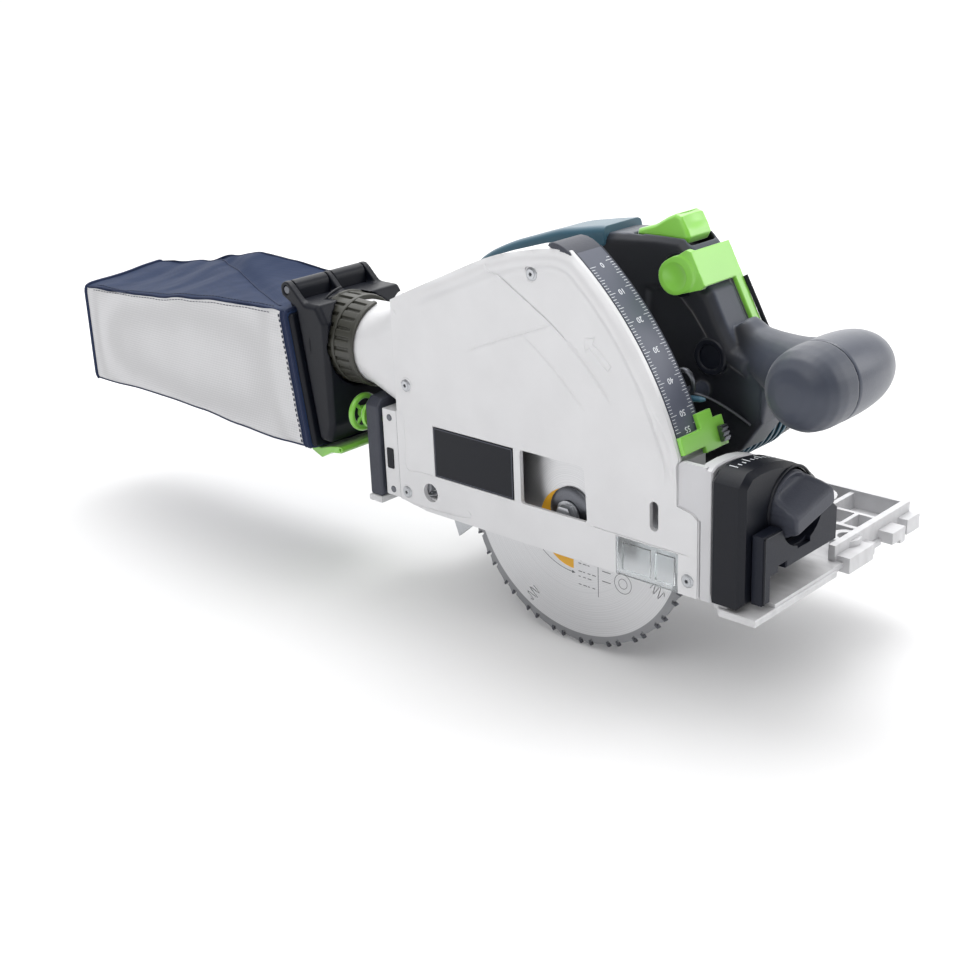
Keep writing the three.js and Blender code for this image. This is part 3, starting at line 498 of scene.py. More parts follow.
def tube(name, line, radius, sides=10):
    """Round rod along a line of points; radius may be one number or one for each point."""
    points = [Vector(p) for p in line]
    rings = []
    side = None
    for i, point in enumerate(points):
        along = (points[min(i + 1, len(points) - 1)] - points[max(i - 1, 0)]).normalized()
        if side is None:
            side = along.cross(Vector((0, 0, 1)) if abs(along.z) < 0.9 else Vector((0, 1, 0))).normalized()
        side = (side - along * side.dot(along)).normalized()
        other = along.cross(side)
        own = radius[i] if isinstance(radius, (list, tuple)) else radius
        rings.append([
            tuple(point + side * own * math.cos(2 * math.pi * k / sides)
                  + other * own * math.sin(2 * math.pi * k / sides))
            for k in range(sides)
        ])
    return loft(name, rings)


# ---- stage ----------------------------------------------------------------

FLOOR_Z = -57.0
FLOOR_REACH = 60000
# Shade painted into the paper round the saw: darker near it, blending to nearly white between these
# distances, in metres.
PAINTED_SHADE_NEAR, PAINTED_SHADE_FAR = 0.3, 0.7
PAINTED_SHADE_MIDDLE = at(-120, 0, FLOOR_Z)

# Light of the surroundings: even part, extra from above, extra from the side behind the saw.
LIGHT_EVEN = 0.1
LIGHT_ABOVE = 1.45
LIGHT_BEHIND = 1.9
LIGHT_GATHERING = 3.0
ABOVE = (0.0, 0.0, 1.0)
BEHIND = (-0.602, 0.622, 0.501)
HORIZON_HEIGHT = 0.22
HORIZON_LIGHT = 1.1

# Name, place, aim, size and power, in metres and watts.
SOFTBOXES = [
    ("overhead_softbox", (-0.25, 0.35, 1.5), (-0.1, 0.0, 0.0), (1.0, 0.8), 10.5),
    ("front_softbox", (0.45, -1.25, 1.35), (-0.1, 0.0, 0.05), (1.2, 0.9), 8.6),
    ("rim_softbox", (1.15, 1.2, 0.8), (0.0, -0.05, 0.1), (0.9, 0.9), 9.5),
]


def maths(tree, operation, *values):
    """Output of a math node fed with numbers or sockets."""
    node = tree.nodes.new("ShaderNodeMath")
    node.operation = operation
    for socket, value in zip(node.inputs, values):
        if isinstance(value, float):
            socket.default_value = value
        else:
            tree.links.new(value, socket)
    return node.outputs[0]


def horizon_added(tree, direction, total):
    """Adds a narrow white band at the horizon, so that the far end of the floor doesn't show as an edge."""
    split = tree.nodes.new("ShaderNodeSeparateXYZ")
    tree.links.new(direction, split.inputs[0])
    band = tree.nodes.new("ShaderNodeMapRange")
    band.inputs["From Max"].default_value = HORIZON_HEIGHT
    band.inputs["To Min"].default_value = HORIZON_LIGHT
    band.inputs["To Max"].default_value = 0.0
    tree.links.new(maths(tree, "ABSOLUTE", split.outputs["Z"]), band.inputs["Value"])
    return maths(tree, "ADD", total, band.outputs["Result"])


def make_world():
    """White studio that is brightest overhead and behind the object."""
    world = bpy.data.worlds.new("studio")
    world.use_nodes = True
    tree = world.node_tree
    background = tree.nodes["Background"]
    background.inputs["Color"].default_value = (1.0, 1.0, 1.0, 1.0)
    direction = tree.nodes.new("ShaderNodeTexCoord").outputs["Generated"]
    total = LIGHT_EVEN
    for axis, share in ((ABOVE, LIGHT_ABOVE), (BEHIND, LIGHT_BEHIND)):
        dot = tree.nodes.new("ShaderNodeVectorMath")
        dot.operation = "DOT_PRODUCT"
        dot.inputs[1].default_value = axis
        tree.links.new(direction, dot.inputs[0])
        facing = maths(tree, "MAXIMUM", dot.outputs["Value"], 0.0)
        gathered = maths(tree, "POWER", facing, LIGHT_GATHERING)
        total = maths(tree, "MULTIPLY_ADD", gathered, share, total)
    tree.links.new(horizon_added(tree, direction, total), background.inputs["Strength"])
    bpy.context.scene.world = world


def floor_paper():
    paper = Shade("floor_paper")
    away = paper.add("ShaderNodeVectorMath", operation="DISTANCE")
    away.inputs[1].default_value = PAINTED_SHADE_MIDDLE
    paper.link(paper.coordinates, away.inputs[0])
    far = paper.between(away.outputs["Value"], 0.0, 1.0, PAINTED_SHADE_NEAR, PAINTED_SHADE_FAR,
                        interpolation_type="SMOOTHSTEP")
    # Painted shade: the paper is darker near the saw, which deepens the shadow round it.
    near = paper.colours(paper.noise(3.0, 2.0), (0.735, 0.735, 0.738), (0.745, 0.745, 0.748))
    paper.base(paper.blend(far, near, (0.95, 0.95, 0.952, 1.0)))
    return paper.set(Roughness=0.9, Specular_IOR_Level=0.1).material


def make_stage():
    corners = oblong(-FLOOR_REACH, -FLOOR_REACH, FLOOR_REACH, FLOOR_REACH)
    mesh = mesh_of("floor", [(x, y, FLOOR_Z) for x, y in corners], [(0, 1, 2, 3)])
    floor = bpy.data.objects.new("floor", mesh)
    bpy.context.scene.collection.objects.link(floor)
    mesh.materials.append(floor_paper())

    make_world()
    bpy.context.scene.view_settings.view_transform = "Standard"

    for name, place, aim, size, power in SOFTBOXES:
        light = bpy.data.lights.new(name, "AREA")
        light.shape = "RECTANGLE"
        light.size, light.size_y = size
        light.energy = power
        lamp = bpy.data.objects.new(name, light)
        bpy.context.scene.collection.objects.link(lamp)
        lamp.location = place
        lamp.rotation_mode = "QUATERNION"
        lamp.rotation_quaternion = (Vector(aim) - Vector(place)).to_track_quat("-Z", "Y")


make_stage()

# ---- finishes of the carried-over CAD nodes -------------------------------

def clear_plastic():
    shade = Shade("clear_plastic")
    shade.set(Base_Color=(0.9, 0.93, 0.94, 1.0), Roughness=0.08, Transmission_Weight=0.92, IOR=1.3)
    shade.bump(shade.noise(90.0, 2.0), 0.00008)
    return shade.material


CLEAR = clear_plastic()

# Edge rounding in millimetres, the finish and, where it differs, the finish of the edges, then the nodes.
DRESSING = [
    (0.5, (CAST, CAST), "sole_plate"),
    (0.3, (LIME,), "guide_cam_front guide_cam_rear"),
    (0.4, (LIME,), "depth_stop bag_latch battery_button"),
    (0.5, (LIME,), "bevel_knob_rear"),
    (0.6, (LIME,), "quick_lever"),
    (0.8, (LIME,), "trigger plunge_release"),
    (0.1, (BLACK,), "name_plate"),
    (0.2, (BLACK,), "fan"),
    (0.3, (BLACK,), "port_spigot"),
    (0.4, (BLACK,), "speed_dial"),
    (0.6, (BLACK,), "front_quadrant"),
    (0.7, (BLACK,), "bag_frame"),
    (0.8, (BLACK,), "bevel_knob_front bag_adapter motor_cap battery_dock"),
    (0.0, (CHARCOAL,), "dust_bag"),
    (0.4, (CHARCOAL,), "front_cover"),
    (0.6, (CHARCOAL,), "gear_case"),
    (1.0, (CHARCOAL,), "handle_body battery_pack"),
    (0.6, (TEXTURED,), "rear_quadrant"),
    (0.2, (SCALE_GREY,), "depth_scale"),
    (0.5, (SILVER, SILVER_EDGE), "guard_shell"),
    (0.4, (SILVER, SILVER_EDGE), "tilt_block_rear"),
    (0.4, (SILVER_BLOCK,), "tilt_block_front"),
    (0.0, (STEEL,), "return_spring saw_blade"),
    (0.15, (STEEL,), "guard_screw_1 guard_screw_2 guard_screw_3 guard_screw_4 riving_knife"),
    (0.2, (STEEL,), "spindle"),
    (0.3, (STEEL,), "pivot_pin motor_bearing_front motor_bearing_rear arbor_bearing blade_bolt"),
    (0.1, (DARK_STEEL,), "drive_gear"),
    (0.15, (DARK_STEEL,), "stop_button"),
    (0.2, (DARK_STEEL,), "bag_hinge_pin armature inner_flange outer_flange"),
    (0.3, (OLIVE,), "port_ring"),
    (0.8, (TEAL,), "handle_pad motor_housing"),
    (0.4, (GRIP,), "grip_near grip_far"),
    (0.4, (COPPER,), "stator"),
    (0.2, (BOARD,), "control_board"),
    (0.3, (CLEAR,), "sight_window"),
]

for edge_width, finishes, node_names in DRESSING:
    for node_name in node_names.split():
        node = nodes[node_name]
        while len(node.material_slots) < len(finishes):
            node.data.materials.append(None)
        for index, finish in enumerate(finishes):
            node.material_slots[index].material = finish
        soften(node, edge_width, merge=True)


# ---- dust bag -------------------------------------------------------------

BAG_LENGTH = 242
BAG_FRONT_X = -188.6
BAG_FRONT_LEAN = math.tan(math.radians(9))
# Distance from the frame, then the heights of the floor, the near top seam and the far ridge,
# and how far the near and far sides reach.
BAG_STATIONS = [
    (0, 29.4, 114.4, 117.0, -27.8, 49.8),
    (16, 28.2, 114.6, 119.0, -26.6, 48.4),
    (40, 26.8, 113.8, 121.0, -25.6, 46.6),
    (76, 28.4, 112.0, 123.4, -25.6, 46.0),
    (114, 31.4, 108.8, 125.0, -25.8, 45.0),
    (150, 32.4, 104.4, 119.0, -25.6, 45.6),
    (186, 32.6, 102.2, 110.8, -25.4, 46.0),
    (220, 31.0, 100.4, 106.6, -24.8, 44.6),
    (BAG_LENGTH, 30.4, 98.4, 104.6, -23.6, 43.0),
]
BAG_CORNER = 7.0


def station(distance):
    """Sizes of the bag at a distance from the frame, between the listed ones."""
    for first, second in zip(BAG_STATIONS, BAG_STATIONS[1:]):
        if distance <= second[0]:
            t = (distance - first[0]) / (second[0] - first[0])
            t = t * t * (3 - 2 * t)
            return [a + (b - a) * t for a, b in zip(first, second)]
    return list(BAG_STATIONS[-1])


def bag_point(distance, around, swell=0.0):
    """Point of the skin; around runs from 0 up the near side, over the top and back underneath to 4."""
    _, floor, near_top, ridge, near, far = station(distance)
    corners = [(near, floor), (near, near_top), (far, ridge), (far, floor)]
    side = int(around) % 4
    t = around - int(around)
    start, end = Vector(corners[side]), Vector(corners[(side + 1) % 4])
    edge = end - start
    length = edge.length
    out = Vector((-edge.y, edge.x)).normalized()
    place = start + edge * t
    reach = min(t, 1 - t) * length
    drop = BAG_CORNER * (0.62 if side in (0, 1) else 1.0)
    pull = max(0.0, 1 - reach / drop) ** 2 * drop * 0.29
    place -= out * pull
    belly = math.sin(math.pi * t)
    along = min(1.0, distance / 60) * min(1.0, (BAG_LENGTH - distance) / 30)
    if side == 0:
        place += out * (1.2 * belly * along)
    elif side == 1:
        place += out * (-2.6 * belly * along)
    elif side == 3:
        place += out * (-1.0 * belly * along + 1.4 * math.sin(distance / 23) * belly)
    place += out * swell
    lean = max(0.0, 1 - distance / 200)
    x = BAG_FRONT_X - distance - (place.y - 30) * BAG_FRONT_LEAN * lean
    return Vector((x, place.x, place.y))


def top_seam(distance):
    """Where the seam that crosses the top lies, from the near edge 0 to the far ridge 1."""
    return 0.98 - 0.88 * max(0.0, min(1.0, (170 - distance) / 152))


def bag_folds(distance, around):
    """Height of the cloth's folds, in millimetres."""
    side = int(around) % 4
    t = around - int(around)
    size = 0.12 if side == 0 else 1.0
    x, y = distance * 0.028, around * 1.9
    broad = noise.noise(Vector((x, y, 3.1))) * (0.8 if side == 1 else 1.3)
    fine = noise.noise(Vector((x * 3.2 + y, y * 2.2, 7.7))) * 0.4
    folds = (broad + fine) * size * min(1.0, distance / 22)
    pucker = math.exp(-((distance - 12) / 9) ** 2) * math.sin(around * 27 + math.sin(around * 7))
    folds += pucker * (0.15 if side == 0 else 0.55)
    if side == 1:
        # Crease running from the far ridge down to the frame's near corner.
        crease = t - top_seam(distance)
        fade = min(1.0, distance / 30) * step(172 - distance, 0, 14)
        folds -= 1.5 * math.exp(-(crease / 0.09) ** 2) * fade
        folds += 0.7 * math.exp(-((crease - 0.16) / 0.12) ** 2) * fade
        folds += 0.8 * math.sin(distance / 9 + t * 5) * math.exp(-(distance / 30) ** 2)
        folds -= 1.0 * math.exp(-((distance - 196 - 20 * t) / 12) ** 2)
    if side == 3:
        folds += 1.0 * math.sin(distance / 13 + t * 4) * math.sin(math.pi * t)
    return folds


def make_bag():
    """Closed skin of the bag; its front and rear ends are filled with shrinking rings."""
    columns, rows = 168, 120
    points, faces, tones = [], [], []
    for i in range(rows + 1):
        distance = BAG_LENGTH * i / rows
        for k in range(columns):
            around = 4 * k / columns
            points.append(tuple(bag_point(distance, around, bag_folds(distance, around))))
    for i in range(rows):
        for k in range(columns):
            n = (k + 1) % columns
            faces.append((i * columns + k, i * columns + n, (i + 1) * columns + n, (i + 1) * columns + k))
            on_panel = (k + 0.5) * 4 / columns < 1.0 and BAG_LENGTH * i / rows > 5.4
            tones.append(0 if on_panel else 1)
    for ring, bow in ((0, 0.0), (rows, -4.5)):
        first = ring * columns
        corners = [Vector(points[first + k]) for k in range(columns)]
        centre = sum(corners, Vector()) / columns
        half_y = max(abs(p.y - centre.y) for p in corners)
        half_z = max(abs(p.z - centre.z) for p in corners)
        starts = [first]
        for share in spread(0.92, 0.08, 10):
            starts.append(len(points))
            for corner in corners:
                place = centre.lerp(corner, share)
                across, up = (place.y - centre.y) / half_y, (place.z - centre.z) / half_z
                place.x += bow * (1 - across ** 2) * (1 - up ** 2)
                points.append(tuple(place))
        for a, b in zip(starts, starts[1:]):
            for k in range(columns):
                n = (k + 1) % columns
                faces.append((a + k, a + n, b + n, b + k))
                tones.append(1)
        points.append((centre.x + bow, centre.y, centre.z))
        tip = len(points) - 1
        for k in range(columns):
            faces.append((starts[-1] + k, starts[-1] + (k + 1) % columns, tip))
            tones.append(1)
    mesh = bpy.data.meshes.new("bag_cloth")
    mesh.from_pydata([at(*p) for p in points], [], faces)
    mesh.polygons.foreach_set("material_index", tones)
    mesh.polygons.foreach_set("use_smooth", [True] * len(faces))
    return outward(mesh)


def woven(name, colour, dots, roughness=0.75, dot_depth=0.00018):
    """Woven cloth with a regular grid of threads."""
    shade = Shade(name)
    rgb = linear(colour)
    across = shade.wave(dots, "X")
    up = shade.wave(dots, "Z")
    over = shade.wave(dots, "Y")
    grid = shade.blend(0.5, across, up)
    grid = shade.blend(0.4, grid, over)
    soft = shade.noise(55.0, 3.0)
    weave = shade.colours(grid, tinted(rgb, 0.86), tinted(rgb, 1.1), 0.25, 0.75)
    shade.base(shade.blend(shade.between(soft, 0.0, 0.35), weave, (*tinted(rgb, 0.9), 1.0)))
    shade.bump(grid, dot_depth, 0.6).bump(shade.noise(260.0, 2.0), 0.00012, 0.5)
    return shade.set(Roughness=roughness, Sheen_Weight=0.05, Sheen_Roughness=0.5,
                     Specular_IOR_Level=0.25).material


BAG_GREY = woven("bag_grey_weave", (206, 206, 208), 190.0)
BAG_NAVY = woven("bag_navy_cloth", (24, 42, 74), 420.0, 0.8, 0.00008)
BAG_BINDING = woven("bag_binding", (36, 46, 74), 600.0, 0.8, 0.00006)
THREAD = moulded("bag_thread", (44, 50, 68), 0.8, 0.0004, 0.00004, 0.1)

bag = add_piece("bag_cloth", make_bag(), "bag", BAG_GREY, BAG_NAVY, replaces=("dust_bag",),
                slot="bag_fabric")


def bag_line(distances, arounds, swell=0.4):
    """Line of points lying on the folded cloth."""
    return [bag_point(d, a, swell + bag_folds(d, a)) for d, a in zip(distances, arounds)]


def binding():
    """Edge bindings, hems, seams and end collars of the bag."""
    meshes = []
    for around, width in ((0.005, 0.7), (0.995, 0.6)):
        meshes.append(tube("edge", bag_line(spread(6, 240, 90), [around] * 91, -0.1), width, 8))
    for distance, width in ((6.2, 1.1), (3.4, 1.2), (240, 0.8)):
        meshes.append(tube("hem", bag_line([distance] * 61, spread(0.0, 0.999, 60), 0.3), width, 8))
    for around in (1.97, 3.0):
        meshes.append(tube("seam", bag_line(spread(3, 240, 90), [around] * 91, -0.2), 0.7, 8))
    cross = spread(16, 170, 80)
    meshes.append(tube("seam", bag_line(cross, [1 + top_seam(d) for d in cross], 0.05), 0.45, 8))
    for distance in (1.6, 240.5):
        meshes.append(tube("collar", bag_line([distance] * 161, spread(0.0, 3.975, 160), 0.2), 1.3, 8))
    return joined("bag_binding", meshes)


def stitches():
    """Dashes of thread along the near panel's front edge and the top seam."""
    meshes = []
    for start in spread(0.03, 0.95, 24):
        meshes.append(tube("stitch", bag_line([9.4] * 3, spread(start, start + 0.02, 2), 0.25), 0.42, 6))
    for start in spread(20, 228, 60):
        meshes.append(tube("stitch", bag_line(spread(start, start + 2.2, 2), [1.06] * 3, 0.1), 0.3, 6))
        meshes.append(tube("stitch", bag_line(spread(start, start + 2.2, 2), [0.965] * 3, 0.05), 0.22, 6))
    return joined("bag_stitches", meshes)


add_piece("bag_binding", binding(), "bag", BAG_BINDING, slot="bag_fabric")
add_piece("bag_stitches", stitches(), "bag", THREAD, slot="bag_fabric")

# ---- saw blade ------------------------------------------------------------

TOOTH_PAIRS = 24


def around_arbor(radius, degrees):
    angle = math.radians(degrees)
    return (ARBOR[0] + radius * math.cos(angle), ARBOR[1] + radius * math.sin(angle))


def blade_outline():
    """Rim with teeth in close pairs and a shallow gullet before each."""
    pitch = 360 / TOOTH_PAIRS
    points = []
    for i in range(TOOTH_PAIRS):
        for radius, share in (
            (78.4, 0.0), (78.3, 0.2), (78.0, 0.34), (76.2, 0.375), (75.6, 0.40), (76.4, 0.42), (79.5, 0.43),
            (80.0, 0.445), (79.2, 0.53), (78.3, 0.64), (77.9, 0.72), (76.4, 0.745), (75.8, 0.765),
            (76.6, 0.782), (79.6, 0.79), (79.9, 0.805), (79.0, 0.88), (78.5, 0.96),
        ):
            points.append(around_arbor(radius, -i * pitch - share * pitch))
    return points[::-1]


def wavy_slot(degrees, width=0.22):
    """Narrow laser-cut line that snakes in from the rim."""
    line = []
    for i in range(60):
        t = i / 59
        radius = 71.4 - 9.5 * t
        swing = 3.2 * math.sin(2 * math.pi * 2.6 * t) * min(1.0, t * 5)
        line.append(around_arbor(radius, degrees + swing))
    left, right = [], []
    for i, point in enumerate(line):
        before, after = line[max(i - 1, 0)], line[min(i + 1, 59)]
        along = Vector((after[0] - before[0], after[1] - before[1])).normalized()
        left.append((point[0] - along.y * width, point[1] + along.x * width))
        right.append((point[0] + along.y * width, point[1] - along.x * width))
    return left + right[::-1]


def around_axis(shade, offset):
    """Direction round the blade's axis."""
    across = shade.add("ShaderNodeVectorMath", operation="CROSS_PRODUCT")
    across.inputs[1].default_value = (0.0, 1.0, 0.0)
    shade.link(offset, across.inputs[0])
    turn = shade.add("ShaderNodeVectorTransform", vector_type="VECTOR", convert_from="OBJECT",
                     convert_to="WORLD")
    shade.link(across.outputs[0], turn.inputs[0])
    return turn.outputs[0]


def blade_steel():
    """Ground steel with circular scratches; the rim under the teeth is duller."""
    shade = Shade("blade_steel")
    offset, distance = shade.from_axis(*ARBOR)
    rings = shade.add("ShaderNodeTexNoise", noise_dimensions="1D")
    rings.inputs["Scale"].default_value = 3200.0
    shade.link(distance, rings.inputs["W"])
    rim = shade.between(distance, 0.0, 1.0, 0.0735, 0.0739)
    body = shade.colours(rings.outputs["Fac"], linear((196, 197, 199)), linear((222, 222, 224)), 0.3, 0.7)
    shade.base(shade.blend(rim, body, (*linear((150, 151, 154)), 1.0)))
    shade.rough(shade.between(rim, 0.3, 0.5))
    shade.link(around_axis(shade, offset), shade.shader.inputs["Tangent"])
    shade.bump(rings.outputs["Fac"], 0.000006)
    return shade.set(Metallic=0.85, Anisotropic=0.8).material


BLADE_STEEL = blade_steel()
CARBIDE = ground_metal("carbide", (96, 97, 102), 0.35, (4.0, 1.0, 4.0))
AMBER_PRINT = moulded("amber_print", (236, 176, 40), 0.4, 0.0005, 0.00001, 0.04)
GREY_PRINT = moulded("grey_print", (92, 94, 98), 0.5, 0.0005, 0.00001, 0.05)

slots = [wavy_slot(degrees) for degrees in (-28, -118, 152, 62)]
blade = plate("blade_body", [blade_outline(), circle(ARBOR, 10, 48), *slots], -0.9, 0.9, "y", 0.12, 1)
add_piece("blade_body", blade, "arbor", BLADE_STEEL, replaces=("saw_blade",), slot="steel")


def carbide_tips():
    pitch = 360 / TOOTH_PAIRS
    meshes = []
    for i in range(TOOTH_PAIRS):
        for share in (0.43, 0.79):
            face = -i * pitch - share * pitch
            tip = [around_arbor(76.4, face + 0.05), around_arbor(79.9, face + 0.15),
                   around_arbor(79.7, face - 0.7), around_arbor(76.8, face - 1.0)]
            meshes.append(plate("tip", [tip[::-1]], -1.2, 1.2, "y", 0.1, 1))
    return joined("carbide_tips", meshes)


add_piece("carbide_tips", carbide_tips(), "arbor", CARBIDE, slot="dark_steel")


def ring_outline(radius, width, start, end, steps):
    outer = arc(ARBOR, radius + width / 2, start, end, steps)
    return outer + arc(ARBOR, radius - width / 2, end, start, steps)


def blade_prints():
    """Thin rotation arc with a head, a plumb rule and a small ring, printed on the near face."""
    low, high = BLADE_FACE - 0.04, BLADE_FACE + 0.06
    tip = around_arbor(36.5, 271)
    marks = [
        ring_outline(36.5, 0.35, 172, 270, 70),
        [(tip[0] - 1.8, tip[1] + 0.9), (tip[0] + 0.6, tip[1] - 0.1), (tip[0] - 2.0, tip[1] - 0.9)],
        [(17.4, 2.0), (17.8, 2.0), (17.8, -22.0), (17.4, -22.0)],
    ]
    meshes = [plate("mark", [mark], low, high) for mark in marks]
    for radius in (6.0, 3.1):
        centre = (35.0, -9.0)
        ring = [circle(centre, radius, 40), circle(centre, radius - 0.35, 40)]
        meshes.append(plate("ring", ring, low, high))
    for row, z in enumerate((-1.5, -4.6, -9.5, -12.6, -17.5)):
        for column in range(4 if row % 2 == 0 else 3):
            x = 3.4 + column * 3.3
            width = 1.5 + 0.6 * ((row + column) % 3)
            meshes.append(plate("bar", [rounded(oblong(x, z, x + width, z - 0.5), 0.15, 2)], low, high))
    for z in (-2.0, -5.0, -11.0):
        meshes.append(plate("bar", [oblong(20.5, z, 26.5, z - 0.5)], low, high))
    return joined("blade_prints", meshes)


add_piece("blade_prints", blade_prints(), "arbor", GREY_PRINT, slot="steel")
half_disc = arc((0.0, 14.8), 24, 90, 270, 60)
disc = plate("blade_colour_field", [half_disc], BLADE_FACE - 0.05, BLADE_FACE + 0.06)
add_piece("blade_colour_field", disc, "arbor", AMBER_PRINT, slot="steel")

# ---- guard face -----------------------------------------------------------

SKIN_BASE = 0.7
RIM_RISE = 2.8
FACE_RADIUS = SCALE_RADIUS + 0.2
FACE_LOW_ANGLE, FACE_HIGH_ANGLE = 17.4, 52.6
SCREW_PLACES = [(-120, 12), (-116, 80), (86.6, 12), (-15, 160)]
# Top edge of the guard's face, from the front back to the rear.
GUARD_TOP = [(-3, 175), (-26, 170.6), (-49, 164), (-84, 149), (-110, 137.5), (-126, 130)]


def from_pivot(radius, degrees):
    angle = math.radians(degrees)
    return (PIVOT[0] + radius * math.cos(angle), PIVOT[1] + radius * math.sin(angle))


def face_outline():
    front = arc(PIVOT, FACE_RADIUS, FACE_LOW_ANGLE, FACE_HIGH_ANGLE, 60)
    top = smoothed([front[-1]] + GUARD_TOP, 6)[1:]
    foot = [(-126, 6.4), (-104, 3.3), (92.3, 3.3), (92.3, 46.6), (88.8, 49.6), (79.3, 51.7), (79.3, 73.4)]
    return foot + front + top


# Fine grooves of the face: points, depth and half width in millimetres.
GROOVES = [
    ([(-40, 157), (-24.5, 148.3), (-3.7, 136.2), (8.4, 127.4)], 0.9, 0.5),
    ([(8.4, 127.4), (12.4, 124.0), (24.2, 113.2), (37.1, 98.6)], 0.4, 0.8),
    ([(-66, 109.4), (-44, 118.6), (-23.8, 126.1), (-2.1, 134.6)], 0.24, 0.5),
    ([(-22.9, 126.2), (-6, 114.2), (9.7, 100.3), (19.1, 90.5)], 0.24, 0.6),
    ([(53, 114.7), (60.4, 106.2), (66.3, 97.5), (69.2, 85.6), (70.7, 75.9), (71.2, 62)], 0.3, 0.9),
    ([(61.9, 106.5), (69.2, 95.6), (75.1, 84.4), (76.5, 78.4), (76.8, 62)], 0.3, 0.8),
    ([(20.8, 26.4), (40, 26.3), (64, 26.1), (88, 26.0)], 0.5, 0.3),
    ([(-124, 5.6), (-105, 5.6), (-70, 7.5), (-69.6, 12.7)], 0.35, 0.35),
    ([(-119.7, 59.9), (-119.4, 44), (-119.4, 27.6), (-107, 27.6), (-95.6, 27.7)], 0.25, 0.35),
    ([(-46.6, 161.6), (-43.4, 158.0), (-40, 157)], 0.6, 0.6),
]
ARROW = [
    (20, 131.2), (27.6, 131.9), (26.0, 129.0), (37.9, 118.6), (35.4, 115.6), (23.4, 126.2), (20.8, 123.6),
    (20, 131.2),
]


def to_segments(point, line):
    """Distance from a point to a line of points, and how far along it is, from 0 to 1."""
    best, place = 1e9, 0.0
    spans = len(line) - 1
    for i in range(spans):
        ax, az = line[i]
        bx, bz = line[i + 1]
        dx, dz = bx - ax, bz - az
        size = dx * dx + dz * dz
        t = max(0.0, min(1.0, ((point[0] - ax) * dx + (point[1] - az) * dz) / size)) if size else 0.0
        gap = math.hypot(point[0] - ax - t * dx, point[1] - az - t * dz)
        if gap < best:
            best, place = gap, (i + t) / spans
    return best, place


def rim_distance(x, z, top_line):
    """Distance to the front arc or to the top edge, whichever is nearer."""
    front = FACE_RADIUS - math.hypot(x - PIVOT[0], z - PIVOT[1])
    top, _ = to_segments((x, z), top_line)
    blend = 5.0
    share = max(0.0, min(1.0, 0.5 + (top - front) / (2 * blend)))
    return front * share + top * (1 - share) - blend * share * (1 - share) * 0.8


def skin_height(x, z, top_line, grooves):
    """How far the face stands out from the plate, in millimetres."""
    edge = rim_distance(x, z, top_line)
    fade = step(x, -118, -84) * step(z, 60, 84)
    base = SKIN_BASE * (step(x, -125.5, -108) if z > 62 else 1.0)
    height = base + RIM_RISE * (1 - step(edge, 6.5, 11.5)) * fade
    height -= max(0.0, 1 - edge / 6.0) ** 2 * (RIM_RISE + 0.2) * fade
    height += 0.35 * step(x, -60, -20) * step(z, 116, 134) * step(edge, 10, 18)
    for line, depth, half in grooves:
        if abs(x - line[len(line) // 2][0]) > 60:
            continue
        gap, along = to_segments((x, z), line)
        if gap < half:
            ends = min(1.0, min(along, 1 - along) * 8 + 0.15)
            height -= depth * (1 - (gap / half) ** 2) * ends
    return max(0.04, height)


def face_holes():
    window = rounded([(-27.7, 27.2), (20.1, 27.6), (18.3, 59.1), (-27.7, 59.1)], [2.2, 2.4, 3.6, 1.8], 6)
    slot = arc((65, 48), 2.8, 0, 180, 14) + arc((65, 37), 2.8, 180, 360, 14)
    sight = [(39.6, 3.3), (39.6, 25.4), (80.4, 25.4), (80.4, 3.3)]
    bore = circle((-100, 16), 5.8, 36)
    screws = [circle(place, 4.5, 28) for place in SCREW_PLACES]
    plate_rim = oblong(-95.6, 27.5, -32.6, 59.0)
    return window, slot, sight, bore, screws, plate_rim


def inside(point, outline):
    """True where the point lies inside the outline."""
    x, z = point
    hit = False
    for i, (ax, az) in enumerate(outline):
        bx, bz = outline[i - 1]
        if (az > z) != (bz > z) and x < (bx - ax) * (z - az) / (bz - az) + ax:
            hit = not hit
    return hit


def densify(line, gap, closed=True):
    """The line with points added so that none lie further apart than about the gap."""
    result = []
    count = len(line) if closed else len(line) - 1
    for i in range(count):
        a, b = Vector(line[i]), Vector(line[(i + 1) % len(line)])
        pieces = max(1, round((b - a).length / gap))
        result += [tuple(a.lerp(b, k / pieces)) for k in range(pieces)]
    if not closed:
        result.append(tuple(line[-1]))
    return result


